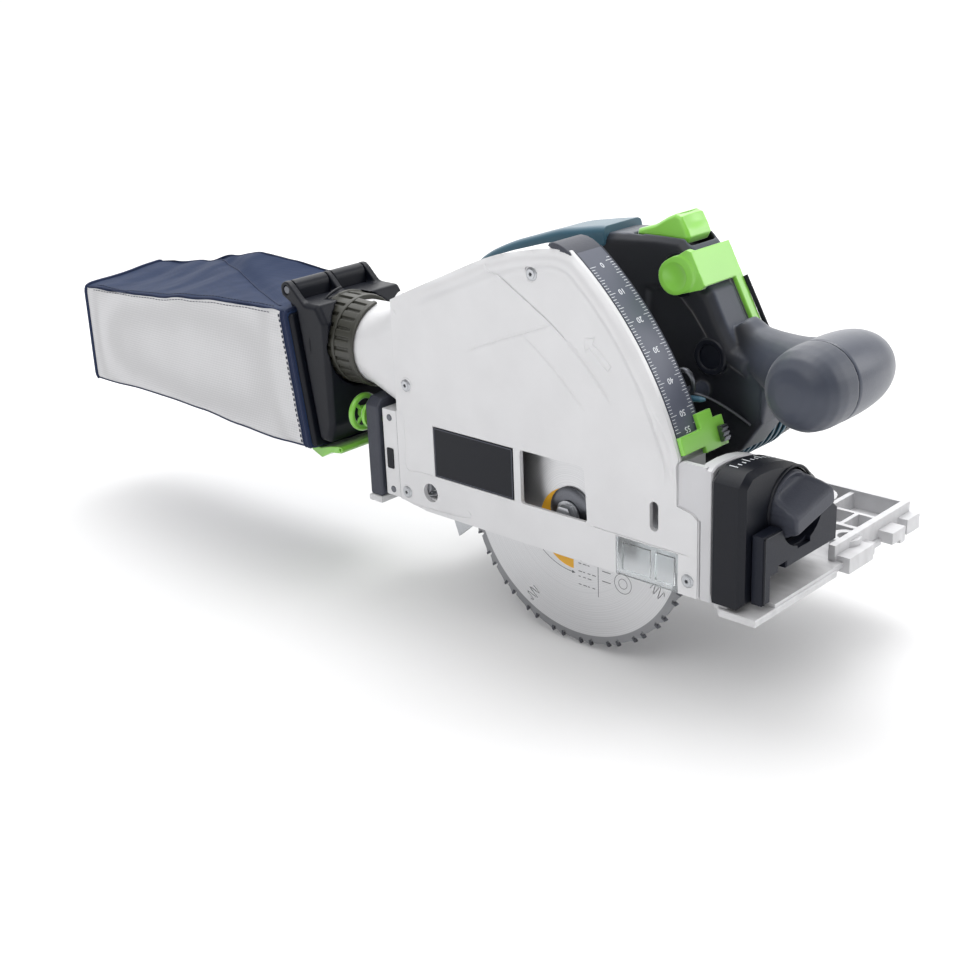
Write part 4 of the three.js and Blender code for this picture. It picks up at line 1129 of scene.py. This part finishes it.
def guard_face():
    """Near face of the guard as one fine relief, closed at its edges and open behind."""
    window, slot, sight, bore, screws, plate_rim = face_holes()
    rim = face_outline()
    # The sight window's notch is open at the foot, so it belongs to the outline.
    at_foot = rim.index((92.3, 3.3))
    rim = rim[:at_foot] + sight + rim[at_foot:]
    holes = [window, slot, bore, *screws]
    loops = [densify(rim, 1.6)] + [densify(hole, 1.2) for hole in holes] + [densify(plate_rim, 2.0)]
    top_line = [from_pivot(FACE_RADIUS, FACE_HIGH_ANGLE)] + GUARD_TOP
    grooves = [(smoothed(line, 5) if len(line) > 2 else line, depth, half) for line, depth, half in GROOVES]
    grooves.append((ARROW, 0.35, 0.42))
    points, edges, spots = [], [], set()

    def put(point):
        points.append(Vector(point))
        spots.add((round(point[0] / 0.7), round(point[1] / 0.7)))
        return len(points) - 1

    for loop in loops:
        first = len(points)
        for point in loop:
            put(point)
        count = len(loop)
        edges += [(first + i, first + (i + 1) % count) for i in range(count)]
    for line, depth, half in grooves:
        for offset in (0.0, -half * 0.5, half * 0.5, -half, half):
            dense = densify(line, 1.1, closed=False)
            for i, point in enumerate(dense):
                before, after = Vector(dense[max(i - 1, 0)]), Vector(dense[min(i + 1, len(dense) - 1)])
                along = (after - before).normalized()
                shifted = (point[0] - along.y * offset, point[1] + along.x * offset)
                if inside(shifted, rim) and not any(inside(shifted, hole) for hole in holes):
                    put(shifted)
    z = 4.5
    while z < 176:
        x = -125.0 + (z * 7.3) % 1.3
        while x < 96:
            if (round(x / 0.7), round(z / 0.7)) not in spots and inside((x, z), rim):
                if not any(inside((x, z), hole) for hole in holes):
                    put((x, z))
            x += 1.9
        z += 1.7
    found, _, triangles, _, _, _ = delaunay_2d_cdt(points, edges, [], 0, 0.02)
    blocked = holes + [plate_rim]
    verts = [(p.x, GUARD_FACE - skin_height(p.x, p.y, top_line, grooves), p.y) for p in found]
    faces = []
    for triangle in triangles:
        middle = sum((found[i] for i in triangle), Vector((0, 0))) / 3
        if inside(middle, rim) and not any(inside(middle, hole) for hole in blocked):
            faces.append(tuple(triangle))
    mesh = bpy.data.meshes.new("guard_face")
    mesh.from_pydata([at(*v) for v in verts], [], faces)
    work = bmesh.new()
    work.from_mesh(mesh)
    bmesh.ops.delete(work, geom=[v for v in work.verts if not v.link_faces], context="VERTS")
    bmesh.ops.recalc_face_normals(work, faces=work.faces)
    if sum(f.normal.y for f in work.faces) > 0:
        bmesh.ops.reverse_faces(work, faces=work.faces)
    border = [e for e in work.edges if e.is_boundary]
    made = bmesh.ops.extrude_edge_only(work, edges=border)
    for item in made["geom"]:
        if isinstance(item, bmesh.types.BMVert):
            item.co.y = at(0, GUARD_FACE + 1.2, 0).y
    for face in work.faces:
        face.smooth = True
    work.to_mesh(mesh)
    work.free()
    return mesh


skin = add_piece("guard_face", guard_face(), "tilt_frame", SILVER, slot="silver_paint")
skin.modifiers.new("smooth", "NODES").node_group = SMOOTH_BY_ANGLE


def guard_lug():
    """Hooked lug on the guard's shoulder beside the port."""
    hook = [(-127.4, 0, 131.6), (-125.4, -5, 129.6), (-123.6, -9.6, 126), (-122.4, -12.0, 121.6)]
    radii = [0.9, 1.5, 2.0, 2.3, 2.4, 2.5, 2.5, 2.5, 2.4, 2.2, 2.0, 1.8, 1.4, 1.2, 0.8, 0.4]
    return tube("guard_lug", smoothed(hook, 5), radii, 12)


add_piece("guard_lug", guard_lug(), "tilt_frame", SILVER, slot="silver_paint")


def screw_ring(place, face):
    """Countersunk ring round a screw."""
    profile = [(4.75, face + 0.05), (4.6, face - 0.12), (3.9, face - 0.1), (3.75, face + 0.5),
               (4.75, face + 0.5)]
    return turned("dish", profile, place, "y", 40)


def star(centre, radius, lobes=6):
    """Outline of a lobed recess."""
    points = []
    for i in range(lobes * 8):
        angle = 2 * math.pi * i / (lobes * 8)
        own = radius * (0.84 + 0.16 * math.cos(lobes * angle))
        points.append((centre[0] + own * math.cos(angle), centre[1] + own * math.sin(angle)))
    return points


RECESS = moulded("recess_shadow", (34, 36, 42), 0.6, 0.0005, 0.00002, 0.1)
rings = [screw_ring(place, GUARD_FACE - SKIN_BASE) for place in SCREW_PLACES]
heads = [plate("head", [circle(place, 2.7, 40), star(place, 1.25)], -13.85, -13.4, "y", 0.1, 2)
         for place in SCREW_PLACES]
lobes = [plate("lobes", [star(place, 1.3)], -13.66, -13.5) for place in SCREW_PLACES]
add_piece("screw_rings", joined("screw_rings", rings), "tilt_frame", SILVER_EDGE, slot="silver_paint")
add_piece("screw_faces", joined("screw_faces", heads), "tilt_frame", STEEL, slot="steel")
add_piece("screw_lobes", joined("screw_lobes", lobes), "tilt_frame", RECESS, slot="dark_steel")

plate_edge = rounded(oblong(-94.6, 28.3, -33.4, 58.2), 0.8, 3)
plate_inner = rounded(oblong(-93.9, 29.0, -34.1, 57.5), 0.6, 3)
add_piece("plate_border", plate("plate_border", [plate_edge, plate_inner], -13.02, -12.8, "y", 0.06, 2),
          "tilt_frame", TEXTURED, slot="black_plastic")

# ---- depth scale ----------------------------------------------------------

SCALE_NEAR_Y, SCALE_FAR_Y = -9.0, 11.2


def scale_angle(depth):
    """Angle on the scale at which the stop sets a cutting depth."""
    return 21.1 + 0.508 * (55 - depth)


BAR_FACES = [(0, 1, 3, 2), (4, 6, 7, 5), (0, 4, 5, 1), (2, 3, 7, 6), (0, 2, 6, 4), (1, 5, 7, 3)]


def curved_bar(angle, half, y0, y1):
    """Thin bar lying across the scale's arc."""
    points = []
    for radius in (SCALE_RADIUS - 0.05, SCALE_RADIUS + 0.07):
        for side in (-half, half):
            x, z = from_pivot(radius, angle + math.degrees(side / radius))
            points += [(x, y0, z), (x, y1, z)]
    return mesh_of("bar", points, BAR_FACES)


def digits(text, angle, centre_y, height):
    """Numbers wrapped round the arc, read from the front with their feet toward the bottom of the saw."""
    curve = bpy.data.curves.new("digits", "FONT")
    curve.body = text
    curve.size = height * 1.38
    curve.align_x = "CENTER"
    curve.align_y = "CENTER"
    curve.extrude = 0.06
    curve.resolution_u = 3
    mesh = baked(curve)
    for vertex in mesh.vertices:
        u, v, w = vertex.co
        x, z = from_pivot(SCALE_RADIUS + w + 0.02, angle - math.degrees(v / SCALE_RADIUS))
        vertex.co = at(x, centre_y - u, z)
    return outward(mesh)


def scale_marks():
    """Two rows of ticks with plain numbers between them."""
    meshes = []
    for depth in range(-1, 56):
        angle = scale_angle(depth)
        long = 4.6 if depth % 10 == 0 else 3.7 if depth % 5 == 0 else 2.5
        if depth >= 0:
            meshes.append(curved_bar(angle, 0.13, SCALE_NEAR_Y + 0.5, SCALE_NEAR_Y + 0.5 + long))
        meshes.append(curved_bar(angle + 0.55, 0.13, SCALE_FAR_Y - 0.5 - long, SCALE_FAR_Y - 0.5))
    for depth in (0, 10, 20, 30, 40, 50, 55):
        meshes.append(digits(str(depth), scale_angle(depth), 1.2, 3.3))
    return joined("scale_marks", meshes)


add_piece("scale_marks", scale_marks(), "tilt_frame", PRINT_WHITE, slot="charcoal_plastic")


def scale_borders():
    """Raised edges of the scale strip."""
    meshes = []
    for y in (SCALE_NEAR_Y - 0.1, SCALE_FAR_Y + 0.05):
        line = [from_pivot(SCALE_RADIUS - 0.1, a) for a in spread(17.6, 52.4, 60)]
        meshes.append(tube("edge", [(x, y, z) for x, z in line], 0.42, 8))
    return joined("scale_borders", meshes)


add_piece("scale_borders", scale_borders(), "tilt_frame", TEXTURED, slot="charcoal_plastic")

# ---- soft-edged mouldings -------------------------------------------------


def cast_from(names, extra=(), voxel=0.8, passes=8, strength=0.5):
    """One closed soft-edged mesh grown from CAD nodes and extra shapes that touch each other."""
    meshes = []
    for name in names:
        copy = nodes[name].data.copy()
        copy.transform(nodes[name].matrix_world)
        meshes.append(copy)
    mesh = joined("casting", meshes + list(extra))
    holder = bpy.data.objects.new("casting", mesh)
    bpy.context.scene.collection.objects.link(holder)
    remesh = holder.modifiers.new("remesh", "REMESH")
    remesh.mode = "VOXEL"
    remesh.voxel_size = voxel * MM
    remesh.use_smooth_shade = True
    smooth = holder.modifiers.new("smooth", "SMOOTH")
    smooth.factor = strength
    smooth.iterations = passes
    bpy.context.view_layer.update()
    graph = bpy.context.evaluated_depsgraph_get()
    result = bpy.data.meshes.new_from_object(holder.evaluated_get(graph))
    bpy.data.objects.remove(holder)
    result.materials.clear()
    return result


def shaped(mesh, change):
    """Moves every vertex by a function of its place in millimetres from the blade."""
    for vertex in mesh.vertices:
        x, y, z = vertex.co.x / MM, vertex.co.y / MM - BLADE_TO_ROW_Y, vertex.co.z / MM
        vertex.co = at(*change(x, y, z))
    return mesh


def smooth_faces(mesh):
    """Shades every face smooth."""
    mesh.polygons.foreach_set("use_smooth", [True] * len(mesh.polygons))
    return mesh


HANDLE_MIDDLE_Y = 48.4
GRIP_PLACE = (130.0, 114.0)


def grip_root():
    """Swelling that carries the handle's front post into the grip."""
    line = [(76, HANDLE_MIDDLE_Y, 133), (84, 48, 125), (93, 47, 120.4), (103, 46, 117.4), (113, 44, 115.6),
            (123, 43, 114.6)]
    return tube("grip_root", smoothed(line, 4), [8 + 12.5 * (i / 20) ** 0.8 for i in range(21)], 28)


def handle_relief(x, y, z):
    """Panels pressed into the near side of the handle's web."""
    if y < 40 and 28 < x < 96 and 60 < z < 112:
        inset = step(x, 30, 34) * step(z, 62, 68) * (1 - step(z, 104, 110))
        y += 0.7 * inset
    return x, y, z


def two_tone_handle():
    """Grey textured grip with painted shade: it turns near-black on the sides facing the guard, away from the
    grip, where the shade between guard and handle falls.
    """
    shade = Shade("handle_painted_shade")
    facing = shade.add("ShaderNodeVectorMath", operation="DOT_PRODUCT")
    facing.inputs[1].default_value = (0.0, -1.0, 0.0)
    shade.link(shade.add("ShaderNodeTexCoord").outputs["Normal"], facing.inputs[0])
    side = shade.between(facing.outputs["Value"], 0.0, 1.0, 0.35, 0.85, interpolation_type="SMOOTHSTEP")
    _, away = shade.from_axis(*GRIP_PLACE)
    reach = shade.between(away, 0.0, 1.0, 0.030, 0.052, interpolation_type="SMOOTHSTEP")
    # Mask of the painted shade: sides that face the guard, away from the grip.
    both = shade.add("ShaderNodeMath", operation="MULTIPLY")
    shade.link(side, both.inputs[0])
    shade.link(reach, both.inputs[1])
    fine = shade.noise(1800.0, 2.0)
    grey = shade.colours(shade.noise(38.0, 3.0), linear((50, 55, 67)), linear((58, 63, 76)), 0.3, 0.7)
    # Painted shade: the grey turns near-black under the mask.
    shade.base(shade.blend(both.outputs[0], grey, (*linear((12, 15, 24)), 1.0)))
    shade.rough(shade.between(fine, 0.4, 0.52))
    shade.bump(fine, 0.00005)
    return shade.set(Sheen_Weight=0.2, Sheen_Roughness=0.4, Specular_IOR_Level=0.45).material


handle = shaped(cast_from(["handle_body", "grip_near"], [grip_root()], 0.85, 9), handle_relief)
add_piece("handle_shell", handle, "plunge_unit", two_tone_handle(), replaces=("handle_body", "grip_near"),
          slot="charcoal_plastic")
far_profile = smoothed([(21.9, 38.2), (22, 46), (21.9, 54), (21.3, 63), (19.8, 73), (16.6, 82), (12, 87.8),
                        (6.4, 90.5), (0.2, 91)], 6)
far_profile = [(0.2, 38.2), (21.4, 38.2)] + far_profile[1:]
grip_end = add_piece("grip_end", turned("grip_end", far_profile, GRIP_PLACE, "y", 96), "plunge_unit", GRIP,
                     replaces=("grip_far",), slot="soft_grip")
soften(grip_end, 0.0)

# Spine of the loop handle: soft teal moulding that wraps over the top and down both sides.
SPINE_LINE = [(-116, 121.5), (-110, 129.6), (-98.6, 143.2), (-87.6, 151.6), (-70, 159.6), (-52, 165.4),
              (-35, 170.6), (-22, 173.0), (-10, 175.0), (-2, 176.0)]


def spine():
    """Crowned strip laid along the handle's top line, thinner at its ends."""
    line = smoothed(SPINE_LINE, 6)
    rings = []
    for i, (x, z) in enumerate(line):
        before, after = line[max(i - 1, 0)], line[min(i + 1, len(line) - 1)]
        along = Vector((after[0] - before[0], after[1] - before[1])).normalized()
        share = i / (len(line) - 1)
        taper = min(1.0, 0.55 + 4 * share) * min(1.0, 0.8 + 3 * (1 - share))
        crown = 2.6 * min(1.0, 6 * share + 0.2)
        section = rounded([(-16.9, -9 * taper), (-16.9, crown), (16.9, crown), (16.9, -9 * taper)],
                          [2, 8.5, 8.5, 2], 7)
        rings.append([(x - along.y * n, HANDLE_MIDDLE_Y + y, z + along.x * n) for y, n in section])
    return smooth_faces(loft("handle_spine", rings))


soften(add_piece("handle_spine", spine(), "plunge_unit", TEAL, replaces=("handle_pad",),
                 slot="teal_plastic"), 0.4)

PAD_CENTRE = (47.6, 158.8)


def dished(x, y, z):
    """Thumb dish in the near end of the quick-change lever."""
    if y < 31:
        gap = math.hypot(x - PAD_CENTRE[0], z - PAD_CENTRE[1])
        y += 2.0 * max(0.0, 1 - (gap / 7.6) ** 2)
    return x, y, z


def thumb_slope(x, y, z):
    """Hollow on the release's front face for the thumb."""
    if z > 180 and x > 41:
        side = (y - 48.2) / 9
        x -= 0.9 * max(0.0, 1 - side * side) * step(z, 180, 184)
    return x, y, z


# Piece and node, body, voxel in millimetres, smoothing passes, change of shape, finish and slot.
MOULDINGS = [
    ("lever_moulding", "quick_lever", "quick_lever", 0.4, 6, dished, LIME, "lime_plastic"),
    ("release_moulding", "plunge_release", "plunge_release", 0.4, 9, thumb_slope, LIME, "lime_plastic"),
    ("stop_moulding", "depth_stop", "depth_stop", 0.3, 3, None, LIME, "lime_plastic"),
    ("adapter_shell", "bag_adapter", "bag_adapter", 0.8, 9, None, BLACK, "black_plastic"),
    ("mouth_frame", "bag_frame", "bag", 0.6, 4, None, BLACK, "black_plastic"),
    ("latch_moulding", "bag_latch", "bag_latch", 0.35, 4, None, LIME, "lime_plastic"),
]
for name, node_name, body, voxel, passes, change, finish, slot in MOULDINGS:
    moulding = cast_from([node_name], [], voxel, passes)
    if change:
        moulding = shaped(moulding, change)
    add_piece(name, moulding, body, finish, replaces=(node_name,), slot=slot)


def lever_edging():
    """Black edge strip beside the lime one, running down to the grip."""
    line = [(67.4, 63.0, 155.2), (74.6, 63.4, 141.6), (81.6, 63.6, 128.6), (85.6, 63.4, 124.0),
            (92.5, 62.6, 121.8), (101, 61, 121.6), (111, 59.5, 124.5)]
    return tube("lever_edging", smoothed(line, 6), 1.3, 10)


add_piece("lever_edging", lever_edging(), "quick_lever", BLACK, slot="black_plastic")


def gap_outline():
    """Dark shadow gap round the lever's pad."""
    line = [(x, 32.1, z) for x, z in arc(PAD_CENTRE, 11.0, 60, 300, 40)]
    return tube("gap", line, 0.7, 8)


add_piece("lever_pocket_edge", gap_outline(), "plunge_unit", BLACK, slot="black_plastic")

# Boss in the near side of the web, with its rim.
BOSS = (67.0, 118.0)
boss_profile = [(6.7, 33.4), (6.7, 32.4), (7.6, 31.7), (9.2, 31.7), (10.0, 32.5), (10.2, 36), (6.7, 36),
                (6.7, 34)]
soften(add_piece("boss_rim", turned("boss_rim", boss_profile, BOSS, "y", 48), "plunge_unit", BLACK,
                 slot="charcoal_plastic"), 0.0)


def wires():
    """Thin cable and loop tucked between the guard and the handle."""
    cable = [(60, 20, 101), (68, 24, 99.5), (75, 28, 96), (83, 33, 90), (90, 37, 84)]
    loop = [(58, 17.5, 108), (60, 15.6, 113), (64, 15.2, 114.6), (67, 16.5, 111), (66.6, 18.5, 105),
            (64, 19.5, 101)]
    strands = [tube("cable", smoothed(cable, 5), 0.8, 8), tube("loop", smoothed(loop, 5), 1.5, 10)]
    return joined("wires", strands)


add_piece("stop_wires", wires(), "plunge_unit", DARK_STEEL, slot="dark_steel")
pin_line = [(62, 15.2, 99.4), (64, 15.2, 99.6), (73, 16.4, 100.2), (75.5, 16.8, 100.4)]
pin = tube("pin", pin_line, [1.2, 1.9, 1.5, 0.8], 16)
add_piece("stop_pin", pin, "plunge_unit", TEAL, slot="dark_steel")

# ---- port ring ------------------------------------------------------------

PORT = (7.0, 95.0)


def fluted(profile, angles):
    """Rings round the port, ten points to a flute; the profile gives x and the radii between and on them."""
    rings = []
    for x, low_radius, high_radius in profile:
        ring = []
        for k, angle in enumerate(angles):
            on_flute = 0.12 <= (k % 10) / 10 <= 0.88
            radius = high_radius if on_flute else low_radius
            ring.append((x, PORT[0] + radius * math.cos(angle), PORT[1] + radius * math.sin(angle)))
        rings.append(ring)
    return rings


def fluted_ring():
    profile = [
        (-186.4, 20.6, 20.6), (-186.4, 28.0, 28.0), (-185.6, 28.4, 28.4), (-184.6, 28.2, 28.2),
        (-184.0, 26.4, 27.4), (-179, 26.2, 27.6), (-173.6, 26.2, 27.6), (-172.2, 27.2, 27.5),
        (-171.2, 27.7, 27.7), (-169.6, 27.4, 27.4), (-169.2, 26.6, 26.6), (-169.2, 20.6, 20.6),
    ]
    rings = fluted(profile, [2 * math.pi * k / 240 for k in range(240)])
    return loft("fluted_ring", closed(rings), closed_ends=False)


soften(add_piece("fluted_ring", fluted_ring(), "port_ring", OLIVE, replaces=("port_ring",),
                 slot="black_plastic"), 0.2)


def port_sleeve():
    """Fluted half sleeve on the guard's port, on the near side only; it clears the raised handle."""
    profile = [
        (-168.9, 25.4, 25.4), (-168.9, 26.2, 27.2), (-168.3, 26.2, 27.5), (-158.4, 26.0, 27.0),
        (-157.0, 26.8, 27.0), (-156.0, 27.2, 27.2), (-154.2, 26.9, 26.9), (-153.6, 26.2, 26.2),
        (-153.6, 25.4, 25.4),
    ]
    rings = fluted(profile, [math.radians(a) for a in spread(98, 298, 150)])
    return loft("port_sleeve", [list(column) for column in zip(*rings)])


soften(add_piece("port_sleeve", port_sleeve(), "tilt_frame", OLIVE, slot="black_plastic"), 0.2)


def port_lip():
    """Thin lip standing off the adapter, round the ring."""
    line = [(-186.6, y, z) for y, z in arc(PORT, 30.6, 95, 300, 60)]
    return tube("port_lip", line, 0.9, 8)


add_piece("port_lip", port_lip(), "bag_adapter", BLACK, slot="black_plastic")

# ---- bevel clamp at the front ---------------------------------------------

KNOB = (26.0, 51.0)
KNOB_FACE_X = 114.2


def wing_knob():
    """Round knob with a straight grip bar left standing between two scooped hollows."""
    steps, count = 26, 120
    points, faces = [(137.4, KNOB[0], KNOB[1])], []
    for i in range(1, steps + 1):
        radius = 18.2 * i / steps
        for k in range(count):
            angle = 2 * math.pi * k / count
            dy, dz = radius * math.cos(angle), radius * math.sin(angle)
            lean = dz - 0.22 * dy
            bar = 1 - step(abs(lean), 3.6, 12.5)
            height = 8.2 + 15.0 * bar + 1.1 * step(radius, 14.5, 16.8) * (1 - bar)
            height -= 1.6 * max(0.0, (radius - 16.9) / 1.3) ** 2
            points.append((KNOB_FACE_X + height, KNOB[0] + dy, KNOB[1] + dz))
    last = 1 + (steps - 1) * count
    for x, radius in ((KNOB_FACE_X + 4, 18.3), (KNOB_FACE_X, 18.3)):
        for k in range(count):
            angle = 2 * math.pi * k / count
            own = radius - (0.35 if k % 6 in (0, 1) else 0.0)
            points.append((x, KNOB[0] + own * math.cos(angle), KNOB[1] + own * math.sin(angle)))
    points.append((KNOB_FACE_X, *KNOB))
    for k in range(count):
        n = (k + 1) % count
        faces.append((0, 1 + k, 1 + n))
        for i in range(steps - 1):
            a, b = 1 + i * count, 1 + (i + 1) * count
            faces.append((a + k, b + k, b + n, a + n))
        faces.append((last + k, last + count + k, last + count + n, last + n))
        faces.append((last + count + k, last + 2 * count + k, last + 2 * count + n, last + count + n))
        faces.append((last + 2 * count + k, len(points) - 1, last + 2 * count + n))
    stud = tube("stud", [(88, *KNOB), (KNOB_FACE_X + 1, *KNOB)], 3.2, 24)
    return joined("wing_knob", [mesh_of("knob", points, faces), stud])


soften(add_piece("wing_knob", wing_knob(), "bevel_knob_front", TEXTURED, replaces=("bevel_knob_front",),
                 slot="black_plastic"), 0.0)


def bevel_marks():
    """Ticks on the curved top of the front bracket."""
    meshes = []
    for i in range(10):
        angle = math.radians(97 - 2.6 - i * 2.6)
        half = 0.004
        x0 = 106.5 + (0 if i % 3 == 0 else 2.6)
        points = []
        for radius in (78.45, 78.62):
            for turn in (angle - half, angle + half):
                y, z = radius * math.cos(turn), radius * math.sin(turn)
                points += [(x0, y, z), (111.5, y, z)]
        meshes.append(mesh_of("tick", points, BAR_FACES))
    return joined("bevel_marks", meshes)


add_piece("bevel_marks", bevel_marks(), "base", PRINT_WHITE, slot="black_plastic")


def cover_ribs():
    """Rim round the knob's recess and the edges of the lower cover."""
    meshes = [tube("rim", [(122.2, y, z) for y, z in closed(circle(KNOB, 20.4, 72))], 0.8, 8)]
    meshes.append(tube("edge", [(130.0, -8.6, z) for z in spread(9.5, 45, 8)], 0.7, 8))
    meshes.append(tube("edge", [(130.0, y, 45.4) for y in spread(-8.6, 6, 6)], 0.7, 8))
    return joined("cover_ribs", meshes)


add_piece("cover_ribs", cover_ribs(), "base", BLACK, slot="black_plastic")


def ring_knob():
    """Open lime ring on four spokes round the rear clamp's hub."""
    place, face = (-6.0, 53.0), -153.0
    ring = [(face - 9, y, z) for y, z in circle(place, 10.2, 64)]
    meshes = [tube("ring", ring + ring[:2], 1.9, 12)]
    for k in range(4):
        angle = math.radians(45 + 90 * k)
        end = (face - 9, place[0] + 9.5 * math.cos(angle), place[1] + 9.5 * math.sin(angle))
        meshes.append(tube("spoke", [(face - 6.5, *place), (face - 9, *place), end], 1.3, 10))
    hub = [(0.1, face), (8.2, face), (8.6, face - 2), (6.6, face - 4.4), (4.2, face - 5.2),
           (4.0, face - 10.4), (0.1, face - 10.8)]
    meshes.append(turned("hub", hub, place, "x", 48))
    meshes.append(tube("stud", [(face + 25, *place), (face - 1, *place)], 3.2, 20))
    return joined("ring_knob", meshes)


soften(add_piece("ring_knob", ring_knob(), "bevel_knob_rear", LIME, replaces=("bevel_knob_rear",),
                 slot="lime_plastic"), 0.0)


def rear_plate():
    """Joint line between the rear bracket and the guard, with two rivets."""
    meshes = [plate("seam", [oblong(-126.6, 6.8, -125.9, 61)], -12.3, -11.9)]
    rivet = [(0.1, -12.5), (1.7, -12.5), (2.1, -12.2), (2.1, -11.8), (0.1, -11.8)]
    for z in (10.5, 56.5):
        meshes.append(turned("rivet", rivet, (-133, z), "y", 24))
    return joined("rear_plate", meshes)


add_piece("rear_plate_marks", rear_plate(), "tilt_frame", DARK_STEEL, slot="dark_steel")
notch = plate("notch", [rounded(oblong(-136.5, 24, -131, 37), 1.0, 3)], -12.6, -11.9, "y", 0.2)
add_piece("rear_notch", notch, "tilt_frame", BLACK, slot="black_plastic")

# ---- scale end, painted shade in the guard and motor vents, battery -------


def scale_cap():
    """Rounded top end of the scale strip, wrapped over the guard's upper corner."""
    rings = []
    for angle, outer, inner, near in (
        (46.5, 196.95, 196.2, -9.2), (48.5, 196.96, 195.2, -11.2), (50.5, 196.97, 194.4, -12.5),
        (52.5, 196.9, 193.4, -12.9), (54.0, 196.3, 192.2, -12.9), (55.2, 195.0, 190.8, -12.6),
        (56.2, 193.0, 189.6, -12.0), (56.9, 190.2, 188.4, -10.5),
    ):
        corners = [(near, inner), (near, outer), (11.8, outer), (11.8, inner)]
        ring = []
        for y, radius in rounded(corners, [0.2, 1.0, 1.0, 0.2] if outer - inner > 2.5 else 0.15, 4):
            x, z = from_pivot(radius, angle)
            ring.append((x, y, z))
        rings.append(ring)
    return loft("scale_cap", rings)


soften(add_piece("scale_cap", scale_cap(), "tilt_frame", TEXTURED, slot="charcoal_plastic"), 0.0)

# Dark sheet inside the guard, not in the CAD: painted shade standing in for the shade inside the guard, so
# the blade shows a dark reflection there.
painted_shade_sheet = plate("guard_shade_sheet", [rounded(oblong(-92, 20, -28.6, 70), 3)], -9.55, -9.3)
add_piece("guard_shade_sheet", painted_shade_sheet, "tilt_frame", BLACK, slot="black_plastic")

MOTOR_NOSE = (30.0, 62.0)


def curved_band(centre, inner, outer, start, end, near, far, steps=36):
    """Block that follows an arc between two radii and two planes."""
    corners = ((inner, near), (outer, near), (outer, far), (inner, far))
    rings = []
    for angle in spread(start, end, steps):
        c, s = math.cos(math.radians(angle)), math.sin(math.radians(angle))
        rings.append([(centre[0] + r * c, y, centre[1] + r * s) for r, y in corners])
    return loft("band", rings)


def motor_vents():
    """Dark band behind the motor's ribs: painted shade that shows in the slots between them."""
    return joined("motor_vents", [curved_band(MOTOR_NOSE, 25.6, 26.25, -66, 38, 68, 126)])


def motor_ribs():
    """Bars between the motor's cooling slots."""
    ribs = [curved_band(MOTOR_NOSE, 25.8, 27.5, -69, 41, 67 + 6.5 * i, 69.6 + 6.5 * i) for i in range(10)]
    return joined("motor_ribs", ribs)


# Painted shade in the vent slots between the ribs.
add_piece("motor_vents", motor_vents(), "plunge_unit", BLACK, slot="black_plastic")
soften(add_piece("motor_ribs", motor_ribs(), "plunge_unit", TEAL, slot="teal_plastic"), 0.5)

MOTOR = (-5.7, 45.0)


def cap_rings():
    """Raised rims round the slots of the motor's cap, and its three screws."""
    meshes = []
    for radius in (11.5, 28.5):
        profile = [(radius, 143.6), (radius, 145.0), (radius + 0.5, 145.3), (radius + 1.3, 145.3),
                   (radius + 1.8, 145.0), (radius + 1.8, 143.6), (radius, 143.6)]
        meshes.append(turned("ring", profile, MOTOR, "y", 72))
    boss = [(0, 143.6), (4.2, 143.6), (4.2, 145.2), (3.6, 145.6), (2.6, 145.6), (2.2, 144.9), (0, 144.9)]
    for place in ((-34, 62), (14, 16.5), (40, 74)):
        meshes.append(turned("boss", boss, place, "y", 32))
    return joined("cap_rings", meshes)


soften(add_piece("cap_rings", cap_rings(), "plunge_unit", BLACK, slot="black_plastic"), 0.2)


def battery_panels():
    """Raised panels on the pack's outer side and ends."""
    meshes = []
    side = rounded(oblong(-131, 38, -54, 78), 5, 6)
    meshes.append(plate("panel", [side], 145.6, 147.0, bevel=0.5))
    meshes.append(plate("panel", [side], 75.0, 76.4, bevel=0.5))
    for i in range(7):
        x = -126 + 4.2 * i
        rib = rounded(oblong(x, 46, x + 1.9, 71), 0.9, 4)
        meshes.append(plate("rib", [rib], 146.6, 148.0, bevel=0.4))
        meshes.append(plate("rib", [rib], 74.0, 75.4, bevel=0.4))
    front = rounded(oblong(82, 40, 140, 64), 4, 6)
    meshes.append(plate("panel", [front], -138.0, -136.6, axis="x", bevel=0.5))
    return joined("battery_panels", meshes)


soften(add_piece("battery_panels", battery_panels(), "battery", TEXTURED, slot="black_plastic"), 0.0)


def battery_seam():
    """Two beads round the pack, at its parting line and near its foot."""
    ring = closed(rounded(oblong(-137.1, 75.9, -47.9, 146.1), 3, 6))
    beads = [tube("bead", [(x, y, z) for x, y in ring], width, 8) for z, width in ((82.0, 0.55), (34.6, 0.7))]
    return joined("battery_seam", beads)


add_piece("battery_seam", battery_seam(), "battery", BLACK, slot="black_plastic")

dot = [(0, -138.6), (1.5, -138.6), (1.8, -138.2), (1.8, -137.6), (0, -137.6)]
lights = [turned("dot", dot, (88 + 6.5 * i, 52), "x", 20) for i in range(4)]
button = [(0, -138.9), (3.0, -138.9), (3.5, -138.4), (3.5, -137.6), (0, -137.6)]
lights.append(turned("dot", button, (122, 52), "x", 28))
add_piece("charge_lights", joined("charge_lights", lights), "battery", LIME, slot="lime_plastic")
